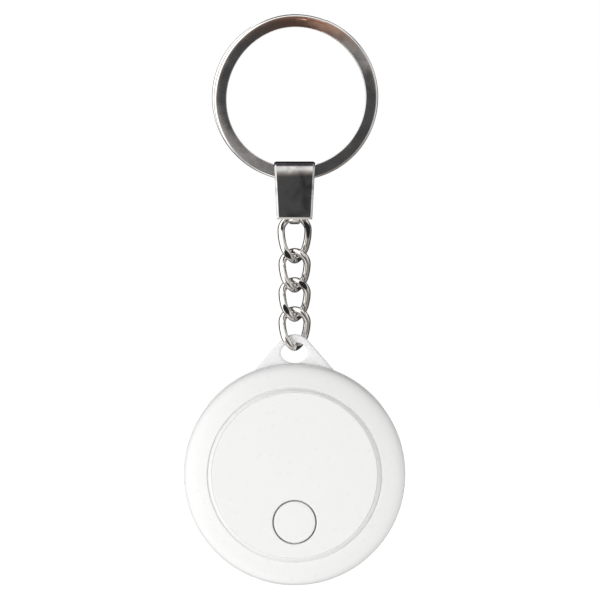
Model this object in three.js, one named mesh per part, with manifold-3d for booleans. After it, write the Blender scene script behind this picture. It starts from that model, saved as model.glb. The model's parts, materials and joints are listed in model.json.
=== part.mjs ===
// Key tracker tag on a split ring: a round two-shell tag with a press button and a coin cell,
// a four-link curb chain, a folded metal strap and a flat split ring.
//
// Millimetres, +Z up, +X to the right, the button side faces -Y. The assembly hangs straight down from
// the origin, which is the point inside the top of the split ring that rests on whatever carries it.

import * as THREE from 'three';
import { mergeVertices } from 'three/addons/utils/BufferGeometryUtils.js';
import Module from 'manifold-3d';

const wasm = await Module();
wasm.setup();

// ---------------------------------------------------------------- driving dimensions

const DEG = Math.PI / 180;
const FIT_GAP = 0.1; // clearance between neighbouring pieces that don't move
const SEAT_GAP = 0.05; // clearance under surface-mounted parts
const OVERCUT = 1; // how far a cutting tool runs past the face it cuts

// Split ring: two turns of flat wire, one in front of the other.
const RING_OUTER_R = 15;
const RING_INNER_R = 12.7;
const RING_TURN_T = 0.95;
const RING_TURN_GAP = 0.06;
const RING_EDGE = 0.28; // chamfer on the wire's corners
const RING_SPLIT_ANGLE = 68 * DEG; // where the front turn starts, from +X towards +Z
const RING_JOG_ANGLE = 26 * DEG; // stretch in which the wire crosses to the rear turn
const RING_END_GAP = 2 * DEG;
const RING_STEPS = 96;

// Strap: one strip of sheet rolled over the ring, hooked under the first link.
const SHEET_T = 0.45;
const STRAP_ROLL_R = 2; // inner radius of the roll
const STRAP_DROP = 0.2; // how far the roll's axis sits outside the middle of the ring's wire
const STRAP_TOP_W = 7.45;
const STRAP_BOTTOM_W = 6.35;
const STRAP_FRONT_DROP = 8.05; // from the roll's axis to the front leaf's lower edge
const HOOK_DROP = 7.01; // from the roll's axis to the hook's axis
const HOOK_R = 1.45; // inner radius of the hook
const HOOK_W = 1.1;
const HOOK_GAP = 0.24; // from the hook to the first link
const HOOK_TIP = 1.06; // how far the hook's tip rises above its axis
const SHOULDER_DROP = 5.8; // from the roll's axis to where the rear leaf narrows

// Chain: twisted links of round wire.
const WIRE_R = 0.7;
const LINK_GAP = 0.1;
const LINK_LENGTH = 8.15;
const LINK_HALF_W = 2.25; // from a link's axis to the middle of its side wire
const END_LINK_LENGTH = 9.2;
const END_LINK_HALF_W = 2.43;
const LINK_TWIST = 45 * DEG; // twist from a link's middle to either end
const CHAIN_YAW = 18 * DEG; // the whole chain's turn about its own length
const LINK_COUNT = 4;
const LINK_SIDES = 8;
const LINK_STEPS = 40;

// Tag: two round shells. Heights are along Y, from the mid plane of the key lug.
const TAG_R = 20;
const FRONT_Y = -4.5;
const BACK_Y = 4.5;
const SPLIT_Y = -0.6;
const DISC_R = 14.8; // raised centre of the front
const CREASE_R = 15.9; // where the raised centre meets the sloping edge
const CREASE_DEPTH = 0.8;
const WALL_T = 1.25;
const FRONT_INNER_R = 18.6;
const LIP_OUTER_R = 18.4;
const LIP_INNER_R = 17.7;
const LIP_Y = -1.6;
const DISC_DOME = 0.15; // how far the disc's rim sits behind its middle
const CREASE_LEAD_W = 0.3; // the curve into the crease: its control point, outwards and back
const CREASE_LEAD_DEPTH = 0.2;
const FRONT_SLOPE_W = 2.2; // the sloping edge: its curve's control points, inwards from the rim and back
const FRONT_SLOPE_DEPTH = 0.25;
const FRONT_RIM_H = 1.9;
const FRONT_CORNER_W = 0.6; // rounding inside the front shell
const FRONT_CORNER_H = 0.5;
const REAR_RIM_H = 1.2; // straight part of the rear rim
const REAR_RIM_CURVE_Y = 2.9; // the rear edge: its curve's control points
const REAR_EDGE_CURVE_W = 1;
const REAR_EDGE_W = 3.2; // from the rim to the flat back
const REAR_CORNER_W = 3.8; // rounding inside the rear shell
const REAR_CORNER_Y = 1.4;
const GASKET_T = 0.3;
const TURN_STEPS = 48; // segments of a full turn on the shells
const MIDDLE_TURN_STEPS = 40;
const SMALL_TURN_STEPS = 16;

// Key lug, measured upwards from the tag's centre.
const LUG_T = 1.2;
const LUG_EDGE = 0.4;
const LUG_TOP = 25.2;
const LUG_TOP_R = 3.2;
const LUG_FOOT_X = 8.6;
const LUG_FOOT_Z = 17.2;
const LUG_HOLE_W = 5.1;
const LUG_HOLE_H = 3.7;
const LUG_BAR_H = 1.5;
const LUG_GAP = 0.16; // from the lug's top bar to the last link

// Button, on the front below the middle.
const BUTTON_Z = -8.4;
const BUTTON_R = 3.7;
const BUTTON_HOLE_R = 3.97;
const BUTTON_FLANGE_R = 4.6;
const BUTTON_FLANGE_T = 0.4;
const BUTTON_TRAVEL = 0.2;
const STEM_R = 0.9;
const BUTTON_SINK = 0.03; // how far the button's middle sits behind the shell's front
const BUTTON_DOME = 0.04;
const BUTTON_EDGE_W = 0.12;
const BUTTON_EDGE_DEPTH = 0.2;

// Circuit board and what is on it.
const BOARD_R = 17.3;
const BOARD_FRONT_Y = -1.6;
const BOARD_BACK_Y = -0.8;
const SWITCH_W = 3.6;
const SWITCH_T = 0.7;
const PLUNGER_R = 0.6;
const CAPACITOR_COUNT = 4;
const CAPACITOR_PITCH = 1.7;

// Coin cell, 20 mm across and 3.2 mm thick, and its holder.
const CELL_R = 10;
const CELL_T = 3.2;
const CELL_CAP_R = 8.8;
const CELL_STEP = 0.4;
const CELL_EDGE = 0.2;
const CELL_SHOULDER = 0.3;
const CELL_FRONT_Y = -0.25;
const SPRING_LENGTH = 9; // straight part of the spring arm under the cell
const SPRING_MIDDLE_X = -1.5;
const SPRING_HALF_W = 1.2;
const CLIP_GAP = 0.3; // from the cell to the upright contact beside it
const CLIP_T = 0.25;
const CLIP_W = 3.6;
const CLIP_FOOT_L = 2.4;
const TRAY_INNER_R = 10.35;
const TRAY_OUTER_R = 11.4;
const TRAY_BACK_Y = 1.6;
const TRAY_CUT_L = 4; // gap in the tray's wall for the upright contact
const TRAY_CUT_W = 4.4;
const SCREW_CIRCLE_R = 13;
const SCREW_ANGLES = [45 * DEG, 225 * DEG];
const EAR_R = 2;
const EAR_T = 0.85;
const SCREW_R = 0.7;
const SCREW_HOLE_R = 0.85;
const SCREW_HEAD_R = 1.4;
const SCREW_HEAD_T = 0.65;
const SCREW_TIP_Y = -2.9;
const SCREW_TIP_R = 0.42;
const SCREW_TIP_H = 0.4;
const SCREW_HEAD_TOP_R = 1;
const SCREW_HEAD_EDGE_H = 0.4;
const SCREW_CROSS_L = 1.5;
const SCREW_CROSS_W = 0.35;
const SCREW_CROSS_DEPTH = 0.35;
const BOSS_R = 1.8;
const BOSS_ROOT = 0.3; // how far a boss reaches into the front wall

// Battery door: a bayonet cap in the back.
const DOOR_HOLE_R = 12.35;
const DOOR_R = 12.2;
const DOOR_Y = 4.4;
const DOOR_T = 1.1;
const DOOR_EDGE = 0.2;
const SKIRT_INNER_R = 11;
const SKIRT_FRONT_Y = 2.1;
const COLLAR_R = 13.9;
const COLLAR_FRONT_Y = 1.9;
const LUG_COUNT = 3;
const BAYONET_REACH = 0.75;
const BAYONET_ROOT = 0.5; // how far a door lug reaches into the skirt
const BAYONET_SPAN = 20 * DEG;
const BAYONET_TURN = 30 * DEG;
const BAYONET_SLACK = 2 * DEG;
const BAYONET_FRONT_Y = 2.2;
const BAYONET_BACK_Y = 2.75;
const COIN_SLOT_L = 10;
const COIN_SLOT_W = 1.8;
const COIN_SLOT_DEPTH = 0.6;
const SEAL_R = 0.28;
const SEAL_GROOVE_Y = 3.65;

// Piezo sounder, glued inside the front above the button.
const SOUNDER_Z = 5;
const SOUNDER_PLATE_R = 7.5;
const SOUNDER_CERAMIC_R = 5.6;
const SOUNDER_T = 0.2;

// Places that follow from the dimensions above, as heights on the hanging line.
const RING_CENTRE_Z = -RING_INNER_R;
const STRAP_AXIS_Z = RING_CENTRE_Z - (RING_INNER_R + RING_OUTER_R) / 2 - STRAP_DROP;
const HOOK_AXIS_Z = STRAP_AXIS_Z - HOOK_DROP;
const FIRST_LINK_TOP_Z = HOOK_AXIS_Z - HOOK_R + HOOK_GAP + WIRE_R;
const END_LINK_HALF_L = END_LINK_LENGTH / 2 - WIRE_R;
const LINK_HALF_L = LINK_LENGTH / 2 - WIRE_R;
const FIRST_LINK_Z = FIRST_LINK_TOP_Z - END_LINK_HALF_L;
const SECOND_LINK_Z = FIRST_LINK_Z - END_LINK_HALF_L + 2 * WIRE_R + LINK_GAP - LINK_HALF_L;
const LINK_PITCH = 2 * LINK_HALF_L - 2 * WIRE_R - LINK_GAP;
const LAST_LINK_Z = SECOND_LINK_Z - (LINK_COUNT - 2) * LINK_PITCH;
const LUG_BAR_Z = LAST_LINK_Z - LINK_HALF_L + WIRE_R + LUG_GAP; // underside of the lug's top bar
const TAG_Z = LUG_BAR_Z - (LUG_TOP - LUG_BAR_H);

// ---------------------------------------------------------------- materials

function material(color, roughness, metalness) {
  return new THREE.MeshStandardMaterial({ color, roughness, metalness });
}

const nickel = material(0x9a9a9c, 0.16, 1);
const white_plastic = material(0xf4f4f2, 0.28, 0);
const lug_plastic = material(0xf2f2f1, 0.34, 0);
const board_green = material(0x1d5a38, 0.45, 0);
const chip_black = material(0x1b1b1d, 0.5, 0);
const can_steel = material(0xb9bbbd, 0.3, 1);
const brass = material(0xc6a253, 0.35, 1);
const ceramic = material(0xe9e3d2, 0.55, 0);
const capacitor_tan = material(0xb59a6c, 0.5, 0);
const silicone = material(0x5f6266, 0.7, 0);
const frame_plastic = material(0x2a2b2d, 0.55, 0);
const screw_steel = material(0x8a8c90, 0.35, 1);

// ---------------------------------------------------------------- geometry helpers

// Merges a geometry's shared vertices and turns it the right way out, as one solid.
function solid_of(geometry) {
  const bare = geometry.clone();
  bare.deleteAttribute('normal');
  bare.deleteAttribute('uv');
  const merged = mergeVertices(bare, 1e-5);
  const position = merged.getAttribute('position');
  const corner = [new THREE.Vector3(), new THREE.Vector3(), new THREE.Vector3()];
  const faces = [];
  let volume = 0;
  for (let i = 0; i < merged.index.count; i += 3) {
    const face = [0, 1, 2].map((k) => merged.index.getX(i + k));
    if (new Set(face).size === 3) {
      faces.push(face);
      face.forEach((vertex, k) => corner[k].fromBufferAttribute(position, vertex));
      volume += corner[0].dot(corner[1].cross(corner[2]));
    }
  }
  const outward = volume < 0 ? faces.map((face) => face.slice().reverse()) : faces;
  return new wasm.Manifold(new wasm.Mesh({
    numProp: 3,
    vertProperties: new Float32Array(position.array),
    triVerts: new Uint32Array(outward.flat()),
  }));
}

function geometry_of(solid) {
  const mesh = solid.getMesh();
  const geometry = new THREE.BufferGeometry();
  geometry.setAttribute('position', new THREE.BufferAttribute(mesh.vertProperties, 3));
  geometry.setIndex(new THREE.BufferAttribute(mesh.triVerts, 1));
  geometry.computeVertexNormals();
  return geometry;
}

function mesh(name, solid, finish) {
  const piece = new THREE.Mesh(geometry_of(solid), finish);
  piece.name = name;
  return piece;
}

// A solid of revolution about the Y axis, from a closed outline of radius and height.
function turned(outline, steps = SMALL_TURN_STEPS, arc_steps = 4) {
  return solid_of(new THREE.LatheGeometry(outline.getPoints(arc_steps), steps));
}

// A round bar along Y, with its middle line at x, z.
function round_bar(radius, front_y, back_y, x = 0, z = 0, steps = SMALL_TURN_STEPS) {
  const bar = new THREE.CylinderGeometry(radius, radius, back_y - front_y, steps);
  bar.translate(x, (front_y + back_y) / 2, z);
  return solid_of(bar);
}

function block(x, z, width, height, front_y, back_y) {
  const box = new THREE.BoxGeometry(width, back_y - front_y, height);
  box.translate(x, (front_y + back_y) / 2, z);
  return solid_of(box);
}

// A plate with its outline in X and Z, running from front_y to back_y.
function plate(outline, front_y, back_y, options = {}) {
  const bevel = options.bevel ?? 0;
  const shape = new THREE.ExtrudeGeometry(outline, {
    depth: back_y - front_y - 2 * bevel,
    bevelEnabled: bevel > 0,
    bevelThickness: bevel,
    bevelSize: bevel,
    bevelOffset: -bevel,
    bevelSegments: 2,
    curveSegments: options.curve_steps ?? 6,
  });
  shape.rotateX(Math.PI / 2); // the outline's second axis becomes Z and its depth becomes -Y
  shape.translate(0, back_y - bevel, 0);
  return solid_of(shape);
}

// A wedge of a ring about the Y axis, between two radii, heights and angles.
function ring_sector(inner_r, outer_r, front_y, back_y, start, end) {
  const outline = new THREE.Shape();
  outline.absarc(0, 0, outer_r, start, end, false);
  outline.absarc(0, 0, inner_r, end, start, true);
  return plate(outline, front_y, back_y);
}

// ---------------------------------------------------------------- split ring

class RingPath extends THREE.Curve {
  getPoint(t, target = new THREE.Vector3()) {
    const turn = 2 * Math.PI;
    const length = 2 * turn - RING_JOG_ANGLE - RING_END_GAP;
    const along = t * length;
    const crossing = THREE.MathUtils.smoothstep(along, turn - RING_JOG_ANGLE, turn - RING_END_GAP);
    const angle = RING_SPLIT_ANGLE - along;
    const radius = (RING_OUTER_R + RING_INNER_R) / 2;
    const layer = (RING_TURN_T + RING_TURN_GAP) * (crossing - 0.5);
    return target.set(radius * Math.cos(angle), layer, radius * Math.sin(angle));
  }
}

function wire_section(across, along, edge) {
  const x = across / 2;
  const y = along / 2;
  const section = new THREE.Shape();
  section.moveTo(x - edge, -y);
  section.lineTo(x, edge - y);
  section.lineTo(x, y - edge);
  section.lineTo(x - edge, y);
  section.lineTo(edge - x, y);
  section.lineTo(-x, y - edge);
  section.lineTo(-x, edge - y);
  section.lineTo(edge - x, -y);
  section.closePath();
  return section;
}

function split_ring() {
  const section = wire_section(RING_TURN_T, RING_OUTER_R - RING_INNER_R, RING_EDGE);
  const wire = new THREE.ExtrudeGeometry(section, { steps: RING_STEPS, extrudePath: new RingPath() });
  const ring = mesh('split_ring', solid_of(wire), nickel);
  ring.position.z = RING_CENTRE_Z;
  return ring;
}

// ---------------------------------------------------------------- strap

// The strip's edge seen from the side: front leaf, roll over the ring, rear leaf, hook.
function strap_side() {
  const roll_outer = STRAP_ROLL_R + SHEET_T;
  const hook_outer = HOOK_R + SHEET_T;
  const side = new THREE.Shape();
  side.moveTo(-roll_outer, -STRAP_FRONT_DROP);
  side.absarc(0, 0, roll_outer, Math.PI, 0, true);
  side.absarc(0, -HOOK_DROP, hook_outer, 0, -Math.PI, true);
  side.lineTo(-hook_outer, HOOK_TIP - HOOK_DROP);
  side.lineTo(-HOOK_R, HOOK_TIP - HOOK_DROP);
  side.absarc(0, -HOOK_DROP, HOOK_R, -Math.PI, 0, false);
  side.absarc(0, 0, STRAP_ROLL_R, 0, Math.PI, false);
  side.lineTo(-STRAP_ROLL_R, -STRAP_FRONT_DROP);
  side.closePath();
  return side;
}

// The strip's width seen from the front, narrowing downwards.
function strap_front() {
  const top = STRAP_ROLL_R + SHEET_T;
  const slope = (STRAP_TOP_W - STRAP_BOTTOM_W) / 2 / (top + STRAP_FRONT_DROP);
  const top_x = STRAP_TOP_W / 2 + slope * OVERCUT;
  const bottom = -HOOK_DROP - HOOK_R - SHEET_T - OVERCUT;
  const bottom_x = top_x + slope * (bottom - top - OVERCUT);
  const front = new THREE.Shape();
  front.moveTo(-bottom_x, bottom);
  front.lineTo(bottom_x, bottom);
  front.lineTo(top_x, top + OVERCUT);
  front.lineTo(-top_x, top + OVERCUT);
  front.closePath();
  return front;
}

function ring_strap() {
  const depth = 2 * STRAP_TOP_W;
  const strip = new THREE.ExtrudeGeometry(strap_side(), { depth, bevelEnabled: false, curveSegments: 16 });
  strip.translate(0, 0, -depth / 2);
  strip.applyMatrix4(new THREE.Matrix4().makeBasis(
    new THREE.Vector3(0, 1, 0),
    new THREE.Vector3(0, 0, 1),
    new THREE.Vector3(1, 0, 0),
  ));
  let strap = solid_of(strip).intersect(plate(strap_front(), -depth, depth));
  const low = HOOK_DROP + HOOK_R + SHEET_T + OVERCUT;
  const height = low - SHOULDER_DROP;
  for (const side of [-1, 1]) {
    const x = side * (HOOK_W + STRAP_TOP_W) / 2;
    const rear_only_y = SHEET_T / 2 - STRAP_ROLL_R;
    strap = strap.subtract(block(x, -low + height / 2, STRAP_TOP_W, height, rear_only_y, depth));
  }
  const piece = mesh('ring_strap', strap, nickel);
  piece.position.z = STRAP_AXIS_Z;
  return piece;
}

// ---------------------------------------------------------------- chain

// Middle line of a link's wire: a flat loop of two straight sides and two half circles, twisted about Z.
function link_point(t, half_length, half_width) {
  const straight = half_length - half_width;
  const quarter_arc = half_width * Math.PI / 2;
  const quarter = quarter_arc + straight;
  const run = (t % 1) * 4;
  const corner = Math.floor(run);
  const falling = corner % 2 === 1;
  const along = (falling ? 1 - (run - corner) : run - corner) * quarter;
  const angle = Math.max(0, along - straight) / half_width;
  const x = half_width * Math.cos(angle);
  const z = Math.min(along, straight) + half_width * Math.sin(angle);
  const flat = new THREE.Vector3(corner === 1 || corner === 2 ? -x : x, 0, corner < 2 ? z : -z);
  return flat.applyAxisAngle(new THREE.Vector3(0, 0, 1), CHAIN_YAW - LINK_TWIST * flat.z / half_length);
}

// A closed round wire: the torus gives the faces, and each ring of vertices moves onto the link's line.
function link_solid(half_length, half_width) {
  const torus = new THREE.TorusGeometry(half_width, WIRE_R, LINK_SIDES, LINK_STEPS);
  const position = torus.getAttribute('position');
  const small = 1e-4;
  for (let step = 0; step <= LINK_STEPS; step += 1) {
    const t = (step % LINK_STEPS) / LINK_STEPS;
    const middle = link_point(t, half_length, half_width);
    const tangent = link_point(t + small, half_length, half_width)
      .sub(link_point(t + 1 - small, half_length, half_width)).normalize();
    const out = middle.clone().addScaledVector(tangent, -middle.dot(tangent)).normalize();
    const across = new THREE.Vector3().crossVectors(tangent, out);
    for (let side = 0; side <= LINK_SIDES; side += 1) {
      const angle = (side % LINK_SIDES) / LINK_SIDES * 2 * Math.PI;
      const vertex = middle.clone()
        .addScaledVector(out, WIRE_R * Math.cos(angle))
        .addScaledVector(across, WIRE_R * Math.sin(angle));
      position.setXYZ(side * (LINK_STEPS + 1) + step, vertex.x, vertex.y, vertex.z);
    }
  }
  return solid_of(torus);
}

function chain_links() {
  const links = [];
  for (let i = 0; i < LINK_COUNT; i += 1) {
    const first = i === 0;
    const solid = first
      ? link_solid(END_LINK_HALF_L, END_LINK_HALF_W)
      : link_solid(LINK_HALF_L, LINK_HALF_W);
    const link = mesh(`chain_link_${i + 1}`, solid, nickel);
    link.position.z = first ? FIRST_LINK_Z : SECOND_LINK_Z - (i - 1) * LINK_PITCH;
    links.push(link);
  }
  return links;
}

// ---------------------------------------------------------------- shells

const FRONT_INNER_Y = FRONT_Y + WALL_T;

function screw_places() {
  return SCREW_ANGLES.map((angle) => [SCREW_CIRCLE_R * Math.cos(angle), SCREW_CIRCLE_R * Math.sin(angle)]);
}

function front_shell() {
  const crease_y = FRONT_Y + CREASE_DEPTH;
  const rim_y = SPLIT_Y - FIT_GAP;
  const outline = new THREE.Path();
  outline.moveTo(0, FRONT_Y);
  outline.quadraticCurveTo(DISC_R / 2, FRONT_Y, DISC_R, FRONT_Y + DISC_DOME);
  outline.quadraticCurveTo(CREASE_R - CREASE_LEAD_W, FRONT_Y + CREASE_LEAD_DEPTH, CREASE_R, crease_y);
  outline.bezierCurveTo(
    TAG_R - FRONT_SLOPE_W,
    crease_y + FRONT_SLOPE_DEPTH,
    TAG_R,
    SPLIT_Y - FRONT_RIM_H,
    TAG_R,
    rim_y,
  );
  outline.lineTo(FRONT_INNER_R, rim_y);
  outline.lineTo(FRONT_INNER_R, LIP_Y - FRONT_CORNER_H);
  outline.quadraticCurveTo(FRONT_INNER_R - FRONT_CORNER_W, FRONT_INNER_Y + FIT_GAP, DISC_R, FRONT_INNER_Y);
  outline.lineTo(0, FRONT_INNER_Y);
  let shell = turned(outline, TURN_STEPS);
  for (const [x, z] of screw_places()) {
    const boss = round_bar(BOSS_R, FRONT_INNER_Y - BOSS_ROOT, BOARD_FRONT_Y - SEAT_GAP, x, z);
    shell = shell.add(boss).subtract(round_bar(SCREW_HOLE_R, FRONT_INNER_Y, BOARD_FRONT_Y, x, z));
  }
  shell = shell.subtract(round_bar(BUTTON_HOLE_R, FRONT_Y - OVERCUT, 0, 0, BUTTON_Z, TURN_STEPS));
  return mesh('front_shell', shell, white_plastic);
}

function lug_solid() {
  const arc_z = LUG_TOP - LUG_TOP_R;
  const foot = new THREE.Vector2(LUG_FOOT_X, LUG_FOOT_Z - arc_z);
  const lean = Math.acos(LUG_TOP_R / foot.length()) + foot.angle() - 2 * Math.PI;
  const outline = new THREE.Shape();
  outline.moveTo(-LUG_FOOT_X, LUG_FOOT_Z);
  outline.lineTo(LUG_FOOT_X, LUG_FOOT_Z);
  outline.absarc(0, arc_z, LUG_TOP_R, lean, Math.PI - lean, false);
  outline.closePath();
  const hole = new THREE.Path();
  const hole_z = LUG_TOP - LUG_BAR_H - LUG_HOLE_H / 2;
  hole.absellipse(0, hole_z, LUG_HOLE_W / 2, LUG_HOLE_H / 2, 0, 2 * Math.PI, true);
  outline.holes.push(hole);
  const lug = plate(outline, -LUG_T / 2, LUG_T / 2, { bevel: LUG_EDGE });
  return lug.subtract(round_bar(LIP_OUTER_R, -LUG_T, LUG_T, 0, 0, TURN_STEPS));
}

// Each door lug's groove in the collar, and the mouth it enters by, which opens to the back.
function bayonet_cuts() {
  const cuts = [];
  const outer_r = DOOR_R + BAYONET_REACH + FIT_GAP;
  for (let i = 0; i < LUG_COUNT; i += 1) {
    const end = (i / LUG_COUNT) * 2 * Math.PI + BAYONET_SPAN / 2 + BAYONET_SLACK;
    const start = end - BAYONET_SPAN - BAYONET_TURN - 2 * BAYONET_SLACK;
    const mouth = start + BAYONET_SPAN + 2 * BAYONET_SLACK;
    const front_y = BAYONET_FRONT_Y - FIT_GAP;
    cuts.push(ring_sector(DOOR_R, outer_r, front_y, BAYONET_BACK_Y + FIT_GAP, start, end));
    cuts.push(ring_sector(DOOR_R, outer_r, front_y, BACK_Y + OVERCUT, start, mouth));
  }
  return cuts;
}

function rear_shell() {
  const floor_y = BACK_Y - WALL_T;
  const outline = new THREE.Path();
  outline.moveTo(TAG_R, SPLIT_Y);
  outline.lineTo(TAG_R, SPLIT_Y + REAR_RIM_H);
  outline.bezierCurveTo(
    TAG_R,
    REAR_RIM_CURVE_Y,
    TAG_R - REAR_EDGE_CURVE_W,
    BACK_Y,
    TAG_R - REAR_EDGE_W,
    BACK_Y,
  );
  outline.lineTo(DOOR_HOLE_R, BACK_Y);
  outline.lineTo(DOOR_HOLE_R, COLLAR_FRONT_Y);
  outline.lineTo(COLLAR_R, COLLAR_FRONT_Y);
  outline.lineTo(COLLAR_R, floor_y);
  outline.lineTo(TAG_R - REAR_CORNER_W, floor_y);
  outline.quadraticCurveTo(LIP_INNER_R, floor_y, LIP_INNER_R, REAR_CORNER_Y);
  outline.lineTo(LIP_INNER_R, LIP_Y);
  outline.lineTo(LIP_OUTER_R, LIP_Y);
  outline.lineTo(LIP_OUTER_R, SPLIT_Y);
  outline.closePath();
  let shell = turned(outline, TURN_STEPS).add(lug_solid());
  for (const cut of bayonet_cuts()) {
    shell = shell.subtract(cut);
  }
  return mesh('rear_shell', shell, lug_plastic);
}

function shell_gasket() {
  const outline = new THREE.Path();
  outline.moveTo(LIP_INNER_R, LIP_Y - FIT_GAP);
  outline.lineTo(LIP_OUTER_R, LIP_Y - FIT_GAP);
  outline.lineTo(LIP_OUTER_R, LIP_Y - FIT_GAP - GASKET_T);
  outline.lineTo(LIP_INNER_R, LIP_Y - FIT_GAP - GASKET_T);
  outline.closePath();
  return mesh('shell_gasket', turned(outline, TURN_STEPS), silicone);
}

// ---------------------------------------------------------------- button

function button_parts() {
  const flange_front = FRONT_INNER_Y + FIT_GAP;
  const flange_back = flange_front + BUTTON_FLANGE_T;
  const switch_front = BOARD_FRONT_Y - SEAT_GAP - SWITCH_T;
  const plunger_front = switch_front - BUTTON_TRAVEL;
  const outline = new THREE.Path();
  outline.moveTo(0, FRONT_Y + BUTTON_SINK);
  outline.lineTo(BUTTON_R - BUTTON_EDGE_W, FRONT_Y + BUTTON_SINK + BUTTON_DOME);
  outline.lineTo(BUTTON_R, FRONT_Y + BUTTON_EDGE_DEPTH);
  outline.lineTo(BUTTON_R, flange_front);
  outline.lineTo(BUTTON_FLANGE_R, flange_front);
  outline.lineTo(BUTTON_FLANGE_R, flange_back);
  outline.lineTo(STEM_R, flange_back);
  outline.lineTo(STEM_R, plunger_front - SEAT_GAP);
  outline.lineTo(0, plunger_front - SEAT_GAP);
  const cap = mesh('button_cap', turned(outline, MIDDLE_TURN_STEPS), white_plastic);
  const plunger_back = switch_front + SWITCH_T - BUTTON_TRAVEL - 2 * SEAT_GAP;
  const plunger = mesh('switch_plunger', round_bar(PLUNGER_R, plunger_front, plunger_back), frame_plastic);
  const well_back = plunger_back + BUTTON_TRAVEL + SEAT_GAP / 2;
  const body = block(0, 0, SWITCH_W, SWITCH_W, switch_front, BOARD_FRONT_Y - SEAT_GAP)
    .subtract(round_bar(PLUNGER_R + FIT_GAP, switch_front - OVERCUT, well_back));
  const parts = [cap, plunger, mesh('button_switch', body, can_steel)];
  parts.forEach((part) => {
    part.position.z = BUTTON_Z;
  });
  return parts;
}

// ---------------------------------------------------------------- electronics

function circuit_board() {
  let board = round_bar(BOARD_R, BOARD_FRONT_Y, BOARD_BACK_Y, 0, 0, TURN_STEPS);
  for (const [x, z] of screw_places()) {
    board = board.subtract(round_bar(SCREW_HOLE_R, BOARD_FRONT_Y - OVERCUT, 0, x, z));
  }
  return mesh('circuit_board', board, board_green);
}

// Parts soldered to the front of the board: name, place, size across, height off the board, finish.
function board_parts() {
  const front = BOARD_FRONT_Y - SEAT_GAP;
  const part = (name, x, z, width, height, tall, finish) => (
    mesh(name, block(x, z, width, height, front - tall, front), finish)
  );
  const parts = [
    part('radio_chip', -8.5, -1, 5, 5, 0.8, chip_black),
    part('radio_crystal', -8.5, 4.2, 3.2, 2.5, 0.7, can_steel),
    part('chip_antenna', -12.4, -8.2, 1.6, 5.2, 1, ceramic),
    part('flash_chip', 8.5, 0.5, 3.2, 4, 0.8, chip_black),
    part('power_inductor', 8.5, -4.4, 2.5, 2, 1, chip_black),
  ];
  for (let i = 0; i < CAPACITOR_COUNT; i += 1) {
    parts.push(part(`capacitor_${i + 1}`, -4.2, 1.6 - CAPACITOR_PITCH * i, 1.6, 0.8, 0.6, capacitor_tan));
  }
  return parts;
}

function negative_contact() {
  const back = CELL_FRONT_Y - SEAT_GAP;
  const front = BOARD_BACK_Y + SEAT_GAP;
  const arm = new THREE.Shape();
  const root = SPRING_MIDDLE_X - SPRING_LENGTH / 2;
  const tip = SPRING_MIDDLE_X + SPRING_LENGTH / 2;
  arm.moveTo(root, -SPRING_HALF_W);
  arm.lineTo(tip, -SPRING_HALF_W);
  arm.absarc(tip, 0, SPRING_HALF_W, -Math.PI / 2, Math.PI / 2, false);
  arm.lineTo(root, SPRING_HALF_W);
  arm.closePath();
  return mesh('negative_contact', plate(arm, front, back), can_steel);
}

// An angle strip: a foot on the board and an upright beside the cell.
function positive_contact() {
  const near = CELL_R + CLIP_GAP;
  const foot_y = BOARD_BACK_Y + SEAT_GAP;
  const foot = block(near + CLIP_FOOT_L / 2, 0, CLIP_FOOT_L, CLIP_W, foot_y, foot_y + CLIP_T);
  const upright = block(near + CLIP_T / 2, 0, CLIP_T, CLIP_W, foot_y, TRAY_BACK_Y);
  return mesh('positive_contact', foot.add(upright), can_steel);
}

function battery_cell() {
  const outline = new THREE.Path();
  const back = CELL_FRONT_Y + CELL_T;
  outline.moveTo(0, CELL_FRONT_Y);
  outline.lineTo(CELL_CAP_R, CELL_FRONT_Y);
  outline.lineTo(CELL_CAP_R, CELL_FRONT_Y + CELL_STEP);
  outline.lineTo(CELL_R - CELL_SHOULDER, CELL_FRONT_Y + CELL_STEP);
  outline.lineTo(CELL_R, CELL_FRONT_Y + CELL_STEP + CELL_SHOULDER);
  outline.lineTo(CELL_R, back - CELL_EDGE);
  outline.lineTo(CELL_R - CELL_EDGE, back);
  outline.lineTo(0, back);
  return mesh('battery_cell', turned(outline, TURN_STEPS), can_steel);
}

function battery_tray() {
  const front = BOARD_BACK_Y + SEAT_GAP;
  const outline = new THREE.Path();
  outline.moveTo(TRAY_INNER_R, front);
  outline.lineTo(TRAY_OUTER_R, front);
  outline.lineTo(TRAY_OUTER_R, TRAY_BACK_Y);
  outline.lineTo(TRAY_INNER_R, TRAY_BACK_Y);
  outline.closePath();
  let tray = turned(outline, TURN_STEPS);
  const below = front - OVERCUT;
  const above = TRAY_BACK_Y + OVERCUT;
  for (const [x, z] of screw_places()) {
    const ear = round_bar(EAR_R, front, front + EAR_T, x, z);
    tray = tray.add(ear.subtract(round_bar(TRAY_INNER_R + FIT_GAP, below, above, 0, 0, TURN_STEPS)));
    tray = tray.subtract(round_bar(SCREW_HOLE_R, below, above, x, z));
  }
  tray = tray.subtract(block(CELL_R + TRAY_CUT_L / 2, 0, TRAY_CUT_L, TRAY_CUT_W, below, above));
  return mesh('battery_tray', tray, frame_plastic);
}

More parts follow.
